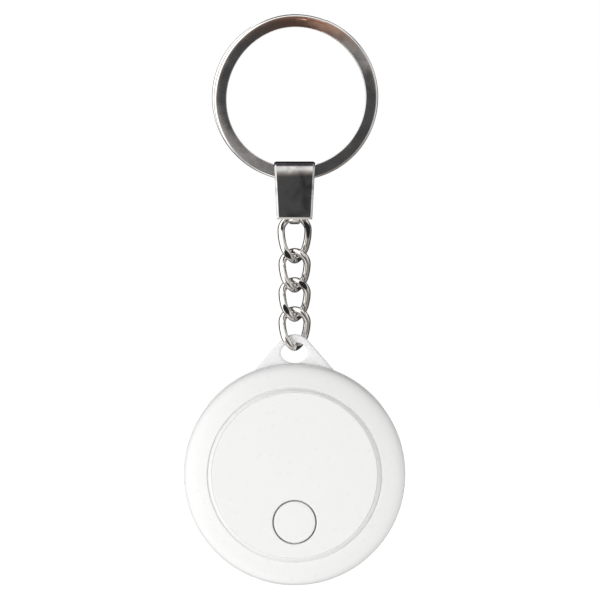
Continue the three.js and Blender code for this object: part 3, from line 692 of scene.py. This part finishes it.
# -------------------------------- chain

WIRE_R = 0.7
WIRE_EASE = 0.03  # the plated wire is this much thinner, so that the links swing freely
LINK_HALF_W = 2.25
END_LINK_HALF_W = 2.43
LINK_TWIST = math.radians(45)  # how far the wire is twisted at a link's end, and backwards at the other
CHAIN_YAW = math.radians(18)
LINK_SIDES = 48
LINK_STEPS = 220

# Each link's filed flats: their depth, then the lean in x and z of the upper right and lower left ones.
LINK_FLATS = {
    1: (0.15, (0.05, -0.4), (0.0, -0.3)),
    2: (0.05, (0.3, 0.25), (0.3, 0.25)),
    3: (0.15, (0.02, -0.06), (0.02, 0.14)),
    4: (0.05, (-0.28, 0.3), (-0.28, 0.3)),
}
PAINTED_DARK_FLATS = (1, 3)  # the links whose flats carry a painted dark reflection


def link_point(t, half_length, half_width):
    """Middle line of a link's wire, a flat loop twisted about Z. t goes round it from 0 to 1."""
    straight = half_length - half_width
    quarter = half_width * math.pi / 2 + straight
    run = (t % 1) * 4
    corner = int(run)
    part = run - corner
    along = (1 - part if corner % 2 else part) * quarter
    angle = max(0, along - straight) / half_width
    x = half_width * math.cos(angle)
    z = min(along, straight) + half_width * math.sin(angle)
    point = Vector((-x if corner in (1, 2) else x, 0, z if corner < 2 else -z))
    return Matrix.Rotation(CHAIN_YAW - LINK_TWIST * point.z / half_length, 3, "Z") @ point


def file_flat(vertices, chosen, normal, depth):
    """Files the chosen vertices down to a plane, depth below their highest point along normal.

    Gives the vertices that were filed.
    """
    normal = Vector(normal).normalized()
    level = max(normal.dot(vertices[i]) for i in chosen) - depth
    filed = [i for i in chosen if normal.dot(vertices[i]) > level]
    for i in filed:
        vertices[i] = vertices[i] - normal * (normal.dot(vertices[i]) - level)
    return filed


def chain_link(number):
    """A twisted link with filed flats: the upper right and lower left ones in front, and two behind."""
    node = f"chain_link_{number}"
    half_width = END_LINK_HALF_W if number == 1 else LINK_HALF_W
    half_length = size_of(node).z / 2 - WIRE_R
    small = 1e-4
    vertices = []
    for step in range(LINK_STEPS):
        t = step / LINK_STEPS
        middle = link_point(t, half_length, half_width)
        ahead = link_point(t + small, half_length, half_width)
        behind = link_point(t + 1 - small, half_length, half_width)
        tangent = (ahead - behind).normalized()
        out = (middle - tangent * middle.dot(tangent)).normalized()
        across = tangent.cross(out)
        for side in range(LINK_SIDES):
            angle = TAU * side / LINK_SIDES
            spoke = out * math.cos(angle) + across * math.sin(angle)
            vertices.append(middle + spoke * (WIRE_R - WIRE_EASE))
    depth, upper, lower = LINK_FLATS[number]
    filed = set()
    for side_x, side_z, facing, (lean_x, lean_z) in (
        (1, 1, -1, upper),
        (-1, -1, -1, lower),
        (-1, 1, 1, upper),
        (1, -1, 1, lower),
    ):
        chosen = [i for i, v in enumerate(vertices) if v.x * side_x > 0 and v.z * side_z > 0]
        filed.update(file_flat(vertices, chosen, (lean_x, facing, lean_z), depth))
    rings = [vertices[i * LINK_SIDES:(i + 1) * LINK_SIDES] for i in range(LINK_STEPS)]
    mesh = new_mesh(node + "_fine", *skin(lift(rings, centre_of(node).z), closed=True))
    # Links 1 and 3 mark their filed flats for a painted dark reflection.
    mark_wear_and_painted_dark(mesh, [1.0 if i in filed and number in PAINTED_DARK_FLATS else 0.0 for i in range(len(vertices))])
    return piece(node + "_fine", node, mesh, sharp=24)


for link_number in LINK_FLATS:
    chain_link(link_number)


# -------------------------------- shells

TAG_R = size_of("front_shell").x / 2
FRONT_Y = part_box("front_shell")[0].y / MM
BACK_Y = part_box("rear_shell")[1].y / MM
SPLIT_Y = -0.6
SPLIT_GAP = 0.1
SPLIT_INSET = 0.02  # the shells' rims draw in by this much where they meet
TURN_STEPS = 192

DISC_R = 14.8
DISC_FALL = 0.16  # how far the disc's edge lies below its middle
DISC_MARGIN = 0.6
LINE_W = 0.15  # the fine line round the disc: its width, its deepest place, its depth and its outer lip
LINE_MIDDLE = 0.07
LINE_D = 0.26
LINE_LIP_D = 0.06
CREASE_R = 15.6
CREASE_Y = FRONT_Y + 0.75
CREASE_HALF_W = 0.17
CREASE_GROOVE = 0.36
CREASE_STEP = 0.02  # how much deeper the crease's outer side starts
SLOPE_R = CREASE_R + 0.5  # the sloping edge: where it starts and the two handles of its curve
SLOPE_Y = CREASE_Y + 0.08
SLOPE_HANDLE = (18.3, CREASE_Y + 0.5)
RIM_HANDLE = (TAG_R, -2.9)
FRONT_RIM_H = 0.12
FRONT_WALL_R = 18.6
FRONT_WALL_Y = -2.1
FRONT_INNER_R = 17.6
FRONT_INNER_Y = FRONT_Y + 1.25
FRONT_INNER_RISE = 0.4  # the inside curves up by this much towards its wall
BUTTON_Z = BUTTON_CENTRE.z - TAG_Z
BUTTON_HOLE_R = 3.97
BUTTON_HOLE_EDGE = 0.14
BUTTON_HOLE_EDGE_TURNS = (0.0, 0.5, 1.0, math.pi / 2)
BUTTON_HOLE_Y = FRONT_Y + 0.4  # the hole is straight from here inwards


def disc_height(radius):
    return FRONT_Y + DISC_FALL * (radius / DISC_R) ** 2


def bezier(a, b, c, d, steps):
    return [
        tuple(
            a[i] * (1 - t) ** 3 + 3 * b[i] * t * (1 - t) ** 2 + 3 * c[i] * t * t * (1 - t) + d[i] * t**3
            for i in range(2)
        )
        for t in (k / steps for k in range(steps + 1))
    ]


def front_shell():
    """The disc, the line and crease round it, the slope, then the inside, back to the button's hole."""
    rim_y = SPLIT_Y - SPLIT_GAP
    disc_edge_y = disc_height(DISC_R)
    shoulder = rounded(
        [
            (DISC_R - DISC_MARGIN, disc_height(DISC_R - DISC_MARGIN), 0),
            (DISC_R, disc_edge_y, 0.03),
            (DISC_R + LINE_MIDDLE, disc_edge_y + LINE_D, 0.02),
            (DISC_R + LINE_W, disc_edge_y + LINE_LIP_D, 0.08),
            (CREASE_R - CREASE_HALF_W, CREASE_Y, 0.06),
            (CREASE_R, CREASE_Y + CREASE_GROOVE, 0.03),
            (CREASE_R + CREASE_HALF_W, CREASE_Y + CREASE_STEP, 0.05),
            (SLOPE_R, SLOPE_Y, 0),
        ],
        6,
    )
    slope = bezier((SLOPE_R, SLOPE_Y), SLOPE_HANDLE, RIM_HANDLE, (TAG_R, rim_y - FRONT_RIM_H), 40)
    inner = rounded(
        [
            (TAG_R, rim_y - FRONT_RIM_H, 0),
            (TAG_R - SPLIT_INSET, rim_y, 0.08),
            (FRONT_WALL_R, rim_y, 0.05),
            (FRONT_WALL_R, FRONT_WALL_Y, 0.1),
            (FRONT_INNER_R, FRONT_INNER_Y + FRONT_INNER_RISE, 0.3),
            (DISC_R, FRONT_INNER_Y, 0),
        ],
        3,
    )
    lathe = turned_loops(shoulder + slope[1:] + inner[1:], TURN_STEPS)
    hole = [circle(BUTTON_HOLE_R, y, TURN_STEPS, BUTTON_Z) for y in (FRONT_INNER_Y, BUTTON_HOLE_Y)]
    for turn in reversed(BUTTON_HOLE_EDGE_TURNS):
        radius = BUTTON_HOLE_R + BUTTON_HOLE_EDGE * (1 - math.sin(turn))
        fall = BUTTON_HOLE_EDGE * (1 - math.cos(turn))
        edge = circle(radius, 0, TURN_STEPS, BUTTON_Z)
        hole.append([(x, disc_height(math.hypot(x, z)) + fall, z) for x, _, z in edge])
    inside = between(lathe[-1], hole[0], 6)
    disc = between(hole[-1], lathe[0], 28, disc_height)
    mesh = new_mesh("front_shell_fine", *skin(lift(lathe + inside + hole + disc, TAG_Z), closed=True))
    return piece("front_shell_fine", "front_shell", mesh, sharp=40)


front_shell()


BUTTON_SUNK = 0.03  # how far the cap's middle lies below the disc's, and how far its own edge falls
BUTTON_FALL = 0.02
BUTTON_FLANGE_W = 0.9
BUTTON_FLANGE_R = size_of("button_cap").x / 2
BUTTON_FLANGE_Y = (FRONT_INNER_Y + 0.1, FRONT_INNER_Y + 0.5)
BUTTON_STEM_R = 0.9
BUTTON_STEM_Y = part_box("button_cap")[1].y / MM
BUTTON_STEM_END_R = 0.2
BUTTON_FACE_RINGS = 14
BUTTON_TURN_STEPS = 128


def button_cap():
    """The cap: a slightly domed face, a flange that keeps it in, and a stem over the switch."""
    radius = BUTTON_FLANGE_R - BUTTON_FLANGE_W
    top = FRONT_Y + BUTTON_SUNK
    face = [
        (radius * share, top + BUTTON_FALL * share**2)
        for share in (k / BUTTON_FACE_RINGS for k in range(1, BUTTON_FACE_RINGS))
    ]
    path = rounded(
        [
            (radius * 0.93, top + 0.019, 0),
            (radius, top + BUTTON_FALL, 0.13),
            (radius, BUTTON_FLANGE_Y[0], 0),
            (BUTTON_FLANGE_R, BUTTON_FLANGE_Y[0], 0.05),
            (BUTTON_FLANGE_R, BUTTON_FLANGE_Y[1], 0.05),
            (BUTTON_STEM_R, BUTTON_FLANGE_Y[1], 0.05),
            (BUTTON_STEM_R, BUTTON_STEM_Y, 0.1),
            (BUTTON_STEM_END_R, BUTTON_STEM_Y, 0),
        ],
        6,
    )
    loops = turned_loops(face + path, BUTTON_TURN_STEPS, BUTTON_Z)
    mesh = new_mesh("button_cap_fine", *skin(lift(loops, TAG_Z), start_cap=True, end_cap=True))
    return piece("button_cap_fine", "button_cap", mesh)


button_cap()


# The battery door's bayonet, with arcs measured from each lug's middle.
DOOR_HOLE_R = 12.35
DOOR_R = 12.2
DOOR_Y = BACK_Y - 0.1
LUG_COUNT = 3
GROOVE_R = 13.05
GROOVE_Y = (2.1, 2.85)
GROOVE_ARC = (math.radians(-42), math.radians(12))
MOUTH_ARC = (math.radians(-42), math.radians(-18))
DOOR_LUG_R = 12.95
DOOR_LUG_Y = (2.2, 2.75)
DOOR_LUG_ARC = (math.radians(-10), math.radians(10))
DOOR_LUG_EASE = (0.05, 0.06)  # how far a lug's edges are taken off, inwards and along it


def notched(radius, y, notch_r, arc):
    """A circle whose radius changes to notch_r over an arc that repeats for each lug."""
    share = TAU / LUG_COUNT
    loop = []
    for k in range(TURN_STEPS):
        angle = TAU * (k + 0.5) / TURN_STEPS
        turn = (angle + share / 2) % share - share / 2
        inside = arc[0] < turn < arc[1] or arc[0] < turn - share < arc[1]
        r = notch_r if inside else radius
        loop.append((r * math.cos(angle), y, r * math.sin(angle)))
    return loop


def half_step_circle(radius, y):
    """A circle with its points in line with those of notched and of the coin slot."""
    return circle(radius, y, TURN_STEPS, phase=math.pi / TURN_STEPS)


# The key lug, with places as x and z from the tag's centre.
LUG_HALF_T = 0.6
LUG_EDGE_R = 0.36
LUG_TOP_R = 3.2
LUG_TOP_CENTRE = Vector((0, 22.0))
LUG_FOOT = Vector((8.6, 17.0))
LUG_ROOT_R = 18.75
LUG_HOLE_Z = 21.85
LUG_HOLE_HALF_W = 2.55
LUG_HOLE_HALF_H = 1.85
LUG_STEPS = 240


def lug_reach(angle):
    """How far the lug's outline is from the middle of its hole, in one direction.

    The outline is a round top, two straight sides that touch it, and a root inside the tag's rim.
    """
    start = Vector((0, LUG_HOLE_Z))
    ahead = Vector((math.cos(angle), math.sin(angle)))
    rising = ahead.y >= 0

    below = start.dot(ahead)
    inside = below * below - start.length_squared + LUG_ROOT_R**2
    root = math.inf if rising or inside <= 0 else -below - math.sqrt(inside)

    to_top = LUG_TOP_CENTRE - LUG_FOOT
    lean = math.atan2(to_top.y, to_top.x) - math.asin(LUG_TOP_R / to_top.length)
    side_length = math.sqrt(to_top.length_squared - LUG_TOP_R**2)
    touch_z = LUG_FOOT.y + math.sin(lean) * side_length
    side_out = Vector((math.sin(lean), -math.cos(lean)))
    aim = Vector((abs(ahead.x), ahead.y))
    facing = aim.dot(side_out)
    side = (LUG_FOOT - start).dot(side_out) / facing if facing > 1e-6 else math.inf
    above_side = side == math.inf or start.y + aim.y * side > touch_z
    if above_side and ahead.y > 0:
        off = start - LUG_TOP_CENTRE
        along = off.dot(ahead)
        side = math.sqrt(along * along - off.length_squared + LUG_TOP_R**2) - along
    return min(root, side)


def key_lug():
    """A flat lug with rounded edges, as loops round its outline, its front, its hole and its back."""
    angles = [TAU * k / LUG_STEPS for k in range(LUG_STEPS)]
    outline = []
    for angle in angles:
        reach = lug_reach(angle)
        outline.append(Vector((reach * math.cos(angle), LUG_HOLE_Z + reach * math.sin(angle))))
    inward = []
    for k in range(LUG_STEPS):
        along = outline[(k + 1) % LUG_STEPS] - outline[k - 1]
        inward.append(Vector((-along.y, along.x)).normalized())
    edge = [
        (LUG_EDGE_R * (1 - math.cos(t)), LUG_HALF_T - LUG_EDGE_R * (1 - math.sin(t)))
        for t in (math.pi / 2 * i / 5 for i in range(5, -1, -1))
    ]
    edge += [(inset, -y) for inset, y in reversed(edge)]
    outer = []
    hole = []
    for inset, y in edge:
        outer.append([(p.x + n.x * inset, y, p.y + n.y * inset) for p, n in zip(outline, inward)])
        half_w = LUG_HOLE_HALF_W + inset
        half_h = LUG_HOLE_HALF_H + inset
        hole.append([(half_w * math.cos(t), y, LUG_HOLE_Z + half_h * math.sin(t)) for t in angles])
    faces = between(outer[-1], hole[-1], 4) + list(reversed(hole)) + between(hole[0], outer[0], 4)
    return new_mesh("key_lug", *skin(lift(outer + faces, TAG_Z), closed=True))


def join_solids(mesh, other):
    """The two closed meshes as one solid."""
    face_outwards(mesh)
    face_outwards(other)
    base = bpy.data.objects.new("base", mesh)
    tool = bpy.data.objects.new("tool", other)
    scene.collection.objects.link(base)
    scene.collection.objects.link(tool)
    union = base.modifiers.new("union", "BOOLEAN")
    union.operation = "UNION"
    union.solver = "MANIFOLD"
    union.object = tool
    made = bpy.data.meshes.new_from_object(base.evaluated_get(bpy.context.evaluated_depsgraph_get()))
    bpy.data.objects.remove(base)
    bpy.data.objects.remove(tool)
    return made


COLLAR_R = 13.9
COLLAR_Y = 1.9
LIP_OUTER_R = 18.4
LIP_INNER_R = 17.7
LIP_Y = -1.6
REAR_RIM_H = 0.4
REAR_SIDE_STEP = 0.2  # the side stays straight for four of these
REAR_SIDE_HANDLE = (TAG_R, 2.9)
REAR_BACK_HANDLE = (TAG_R - 1, BACK_Y)
REAR_BACK_R = (16.8, 16.2, 15.2, 14.2, 13.4)  # the flat back, up to the door's hole
REAR_FLOOR_Y = BACK_Y - 1.25
REAR_FLOOR_R = TAG_R - 3.8
REAR_CORNER_Y = 2.0
DOOR_HOLE_EDGE = ((0.12, 0), (0.04, 0.04), (0, 0.12))  # how much wider the hole is, and how deep in
SMALL_STEP = 0.001  # keeps two loops of one height apart
GROOVE_LIP = 0.01


def rear_shell():
    """The rim, the side, the back with the door's hole and grooves, then the inside and the lip."""
    side_y = SPLIT_Y + REAR_RIM_H
    side_end_y = side_y + 4 * REAR_SIDE_STEP
    rim_corner = (TAG_R - SPLIT_INSET, SPLIT_Y, 0.1)
    rim = rounded([(LIP_OUTER_R, SPLIT_Y, 0), rim_corner, (TAG_R, side_y, 0)], 4)
    side = [(TAG_R, side_y + REAR_SIDE_STEP * i) for i in range(1, 5)]
    edge = bezier((TAG_R, side_end_y), REAR_SIDE_HANDLE, REAR_BACK_HANDLE, (REAR_BACK_R[0], BACK_Y), 28)
    back = [(radius, BACK_Y) for radius in REAR_BACK_R[1:]]
    inner = rounded(
        [
            (DOOR_HOLE_R, GROOVE_Y[0] - GROOVE_LIP, 0),
            (DOOR_HOLE_R, COLLAR_Y, 0.08),
            (COLLAR_R, COLLAR_Y, 0.15),
            (COLLAR_R, REAR_FLOOR_Y, 0.2),
            (REAR_FLOOR_R, REAR_FLOOR_Y, 0.2),
            (LIP_INNER_R, REAR_CORNER_Y, 0.8),
            (LIP_INNER_R, LIP_Y, 0.05),
            (LIP_OUTER_R, LIP_Y, 0.05),
            (LIP_OUTER_R, SPLIT_Y - SPLIT_GAP, 0),
        ],
        3,
    )
    loops = [half_step_circle(radius, y) for radius, y in rim + side + edge[1:] + back]
    mouth = [(grow, BACK_Y - depth) for grow, depth in DOOR_HOLE_EDGE] + [(0, GROOVE_Y[1] + SMALL_STEP)]
    loops += [notched(DOOR_HOLE_R + grow, y, GROOVE_R + grow, MOUTH_ARC) for grow, y in mouth]
    loops += [notched(DOOR_HOLE_R, y, GROOVE_R, GROOVE_ARC) for y in reversed(GROOVE_Y)]
    loops += [half_step_circle(radius, y) for radius, y in inner]
    body = new_mesh("rear_shell_body", *skin(lift(loops, TAG_Z), closed=True))
    mesh = join_solids(body, key_lug())
    mesh.name = "rear_shell_fine"
    mesh.materials.clear()
    return piece("rear_shell_fine", "rear_shell", mesh, sharp=30)


rear_shell()


SLOT_HALF_L = 5.0
SLOT_HALF_W = 0.9
SLOT_DEPTH = 0.6
SLOT_EDGE_R = 0.12
SLOT_FLOOR = ((-0.25, 0), (-0.07, 0), (0, 0.08))  # how much wider than the slot, and how far up
DOOR_FACE_R = 11.0
SEAL_GROOVE_R = 11.64
SEAL_GROOVE_Y = (3.32, 3.99)
SEAL_GROOVE_STEP = 0.01
DOOR_LUG_MARGIN = 0.02
SKIRT_R = 11.0
SKIRT_END_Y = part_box("battery_door")[0].y / MM
DOOR_INNER_Y = DOOR_Y - 1.1
DOOR_INNER_RINGS = (9.0, 7.0, 4.0, 1.0)


def slot_loop(grow, y):
    """The coin slot's outline, a straight slot with round ends, grown by some."""
    half_l = SLOT_HALF_L - SLOT_HALF_W
    radius = SLOT_HALF_W + grow
    loop = []
    for k in range(TURN_STEPS):
        run = 4 * (k + 0.5) / TURN_STEPS
        right = run < 1 or run >= 3
        # From the slot's tip at 0, round its end to 0.5, then along its side to the middle at 1.
        part = run % 1 if int(run) in (0, 2) else 1 - run % 1
        if part < 0.5:
            x = half_l + radius * math.cos(part * math.pi)
            z = radius * math.sin(part * math.pi)
        else:
            x = half_l * (1 - (part - 0.5) * 2)
            z = radius
        loop.append((x if right else -x, y, z if run < 2 else -z))
    return loop


def battery_door():
    """The bayonet cap: a coin slot in its back, a groove for the seal and three lugs on the skirt."""
    loops = [slot_loop(grow, DOOR_Y - SLOT_DEPTH + up) for grow, up in SLOT_FLOOR]
    loops += [
        slot_loop(SLOT_EDGE_R * (1 - math.cos(t)), DOOR_Y - SLOT_EDGE_R * (1 - math.sin(t)))
        for t in (math.pi / 2 * i / 4 for i in range(5))
    ]
    loops += between(loops[-1], half_step_circle(DOOR_FACE_R, DOOR_Y), 10)
    groove_low, groove_high = SEAL_GROOVE_Y
    lug_low, lug_high = DOOR_LUG_Y
    ease_r, ease_y = DOOR_LUG_EASE
    rim = rounded(
        [
            (DOOR_FACE_R, DOOR_Y, 0),
            (DOOR_R, DOOR_Y, 0.25),
            (DOOR_R, groove_high, 0.05),
            (SEAL_GROOVE_R, groove_high, 0),
        ],
        5,
    )
    rim += rounded(
        [
            (SEAL_GROOVE_R, groove_high - SEAL_GROOVE_STEP, 0),
            (SEAL_GROOVE_R, groove_low, 0.05),
            (DOOR_R, groove_low, 0.05),
            (DOOR_R, lug_high + DOOR_LUG_MARGIN, 0),
        ],
        3,
    )
    loops += [half_step_circle(radius, y) for radius, y in rim]
    lugs = ((ease_r, lug_high), (0, lug_high - ease_y), (0, lug_low + ease_y), (ease_r, lug_low))
    loops += [notched(DOOR_R, y, DOOR_LUG_R - inset, DOOR_LUG_ARC) for inset, y in lugs]
    skirt = rounded(
        [
            (DOOR_R, lug_low - DOOR_LUG_MARGIN, 0),
            (DOOR_R, SKIRT_END_Y, 0.03),
            (SKIRT_R, SKIRT_END_Y, 0.1),
            (SKIRT_R, DOOR_INNER_Y, 0.25),
            (DOOR_INNER_RINGS[0], DOOR_INNER_Y, 0),
        ],
        3,
    )
    skirt += [(radius, DOOR_INNER_Y) for radius in DOOR_INNER_RINGS[1:]]
    loops += [half_step_circle(radius, y) for radius, y in skirt]
    mesh = new_mesh("battery_door_fine", *skin(lift(loops, TAG_Z), start_cap=True, end_cap=True))
    return piece("battery_door_fine", "battery_door", mesh, sharp=30)


battery_door()


# -------------------------------- light and floor

KEY_POWER = 3.7
FILL_POWER = 0.95
SIDE_POWER = 0.5
BACK_POWER = 1.5
WORLD_STRENGTH = 0.78
FLOOR_GLOW = 0.55
FLOOR_R = 1.4
FLOOR_SIDES = 96
FLOOR_DROP = 0.012  # the floor lies this far below the tag
DOME_SIDES = 48
DOME_ROWS = 36
BACKDROP_R = 2.2
TENT_R = 1.9
FLAG_HALF_W = 0.3  # the dark card above, which shades the tag's upper edge
FLAG_HALF_H = 0.25

# The tent's brightness from its left to its right, by the sideways part of the direction, and its tint.
TENT_ACROSS = (
    (-1, 1.35),
    (-0.82, 1.6),
    (-0.5, 1.6),
    (-0.3, 1.3),
    (0.0, 1.2),
    (0.35, 1.0),
    (0.48, 1.0),
    (0.57, 0.4),
    (0.72, 0.3),
    (0.8, 0.95),
    (0.93, 0.8),
    (1, 0.2),
)
TENT_TINT = (1, 0.985, 0.965)
# Colours laid over it in turn, each with its edges: an axis, where it starts and where it is full.
TENT_PANELS = (
    ((0.3, 0.27, 0.25), ("z", -0.2, -0.5), ("x", 0, 0.3)),  # low at the right
    ((0.45, 0.45, 0.45), ("z", -0.26, -0.36), ("x", -0.3, -0.5), ("x", -0.85, -0.75)),  # low at the left
    ((0.11, 0.09, 0.115), ("z", 0.88, 0.94)),  # the top
    ((0.03, 0.03, 0.03), ("y", 0.02, 0.22)),  # the back half
    ((0.6, 0.6, 0.6), ("y", 0.8, 0.9)),  # straight behind
)
# The dark opening in front: its middle, half its size, where it fades out, its colour and its fringe's.
TENT_HOLE_X = 0.06
TENT_HOLE_Z = -0.2
TENT_HOLE_HALF_W = 0.3
TENT_HOLE_HALF_H = 0.5
TENT_HOLE_FADE = (3.4, 0.9)
TENT_HOLE = (0.085, 0.085, 0.087)
TENT_FRINGE = (0.3, 0.21, 0.17)


def staged(name, vertices, faces, finish, **seen_by):
    """A piece of the studio, not of the object, that only the given kinds of ray see."""
    mesh = bpy.data.meshes.new(name)
    mesh.from_pydata(vertices, [], faces)
    mesh.materials.append(finish)
    made = bpy.data.objects.new(name, mesh)
    scene.collection.objects.link(made)
    for ray in ("camera", "diffuse", "glossy", "transmission", "volume_scatter", "shadow"):
        setattr(made, "visible_" + ray, seen_by.get(ray, False))
    return made


def face_middle(made, place):
    """Puts a flag or a light at its place, facing the object's middle."""
    place = Vector(place)
    made.location = place
    made.rotation_euler = (MIDDLE - place).to_track_quat("-Z", "Y").to_euler()


def glow(name, colour):
    m = Nodes(name, glowing=True)
    m.set(Color=colour)
    return m.material


def area_light(name, place, width, height, power, colour=(1, 1, 1)):
    """A soft light. Metal doesn't reflect it, because metal is to reflect the tent alone."""
    data = bpy.data.lights.new(name, "AREA")
    data.shape = "RECTANGLE"
    data.size = width
    data.size_y = height
    data.energy = power
    data.color = colour
    made = bpy.data.objects.new(name, data)
    scene.collection.objects.link(made)
    face_middle(made, place)
    made.visible_glossy = False
    return made


def floor_material():
    m = Nodes("floor_paper")
    m.set(Base_Color=m.mix(m.noise(40, 3, 0.5), (0.88, 0.88, 0.88), (0.9, 0.9, 0.9)))
    m.set(Roughness=0.8, Emission_Color=(1, 1, 1), Emission_Strength=FLOOR_GLOW)
    m.bump(m.noise(900, 4, 0.6), 2e-5)
    return m.material


def ball(radius):
    """Points and flat faces of a ball round the studio."""
    turns = [TAU * k / DOME_SIDES for k in range(DOME_SIDES)]
    loops = []
    for row in range(DOME_ROWS):
        rise = math.pi * ((row + 0.5) / DOME_ROWS - 0.5)
        reach = radius * math.cos(rise)
        height = radius * math.sin(rise)
        loops.append([(reach * math.cos(t), reach * math.sin(t), height) for t in turns])
    return skin(loops, start_cap=True, end_cap=True)


def tent_material():
    """What polished metal reflects: a light tent with a dark opening in front, dark above and behind."""
    m = Nodes("tent", glowing=True)
    unit = m.add("ShaderNodeVectorMath", operation="NORMALIZE")
    m.link(m.coords, unit.inputs[0])
    x, y, z = m.split(unit.outputs[0])
    axes = {"x": x, "y": y, "z": z}
    stops = [
        ((place + 1) / 2, tuple(shade * tint for tint in TENT_TINT))
        for place, shade in TENT_ACROSS
    ]
    colour = m.ramp(m.span(x, 0, 1, -1, 1), *stops)
    for panel, *edges in TENT_PANELS:
        cover = 1
        for axis, start, full in edges:
            cover = m.maths("MULTIPLY", cover, m.span(axes[axis], 0, 1, start, full))
        colour = m.mix(cover, colour, panel)
    wide = m.maths("DIVIDE", m.maths("SUBTRACT", x, TENT_HOLE_X), TENT_HOLE_HALF_W)
    high = m.maths("DIVIDE", m.maths("SUBTRACT", z, TENT_HOLE_Z), TENT_HOLE_HALF_H)
    reach = m.maths("ADD", m.maths("MULTIPLY", wide, wide), m.maths("MULTIPLY", high, high))
    in_front = m.span(y, 0, 1, 0, -0.2)
    hole = m.maths("MULTIPLY", m.span(reach, 0, 1, *TENT_HOLE_FADE), in_front)
    fringed = m.mix(hole, colour, TENT_FRINGE)
    m.set(Color=m.mix(m.maths("MULTIPLY", hole, hole), fringed, TENT_HOLE))
    return m.material


world = bpy.data.worlds.new("studio")
scene.world = world
world.use_nodes = True
world.node_tree.nodes["Background"].inputs["Color"].default_value = (1, 1, 1, 1)
world.node_tree.nodes["Background"].inputs["Strength"].default_value = WORLD_STRENGTH

floor_turns = [TAU * k / FLOOR_SIDES for k in range(FLOOR_SIDES)]
floor_rim = [(FLOOR_R * math.cos(t), FLOOR_R * math.sin(t), 0) for t in floor_turns]
floor_face = tuple(range(FLOOR_SIDES))
floor = staged("floor", floor_rim, [floor_face], floor_material(), camera=True, shadow=True)
floor.location.z = cad_bounds[0].z - FLOOR_DROP

white = glow("backdrop_white", (1, 1, 1))
staged("backdrop", *ball(BACKDROP_R), white, camera=True)
tent = staged("tent", *ball(TENT_R), tent_material(), glossy=True)
tent.location = MIDDLE
for finish in (white, tent.data.materials[0]):
    finish.cycles.emission_sampling = "NONE"

black = glow("black_card", (0.02, 0.018, 0.022))
flag_corners = [(x * FLAG_HALF_W, y * FLAG_HALF_H, 0) for x, y in ((-1, -1), (1, -1), (1, 1), (-1, 1))]
flag = staged("flag_above", flag_corners, [(0, 1, 2, 3)], black, diffuse=True)
face_middle(flag, (0.05, -0.04, 0.2))

area_light("key", (-0.42, -0.5, MIDDLE.z - 0.04), 0.4, 0.5, KEY_POWER)
area_light("fill", (0.36, -0.55, MIDDLE.z - 0.1), 0.3, 0.4, FILL_POWER, (1, 0.97, 0.93))
area_light("side", (0.7, -0.12, MIDDLE.z - 0.1), 0.3, 0.5, SIDE_POWER, (1, 0.98, 0.95))
area_light("back", (0.35, 0.6, MIDDLE.z + 0.1), 0.4, 0.5, BACK_POWER)

scene.view_settings.view_transform = "Standard"
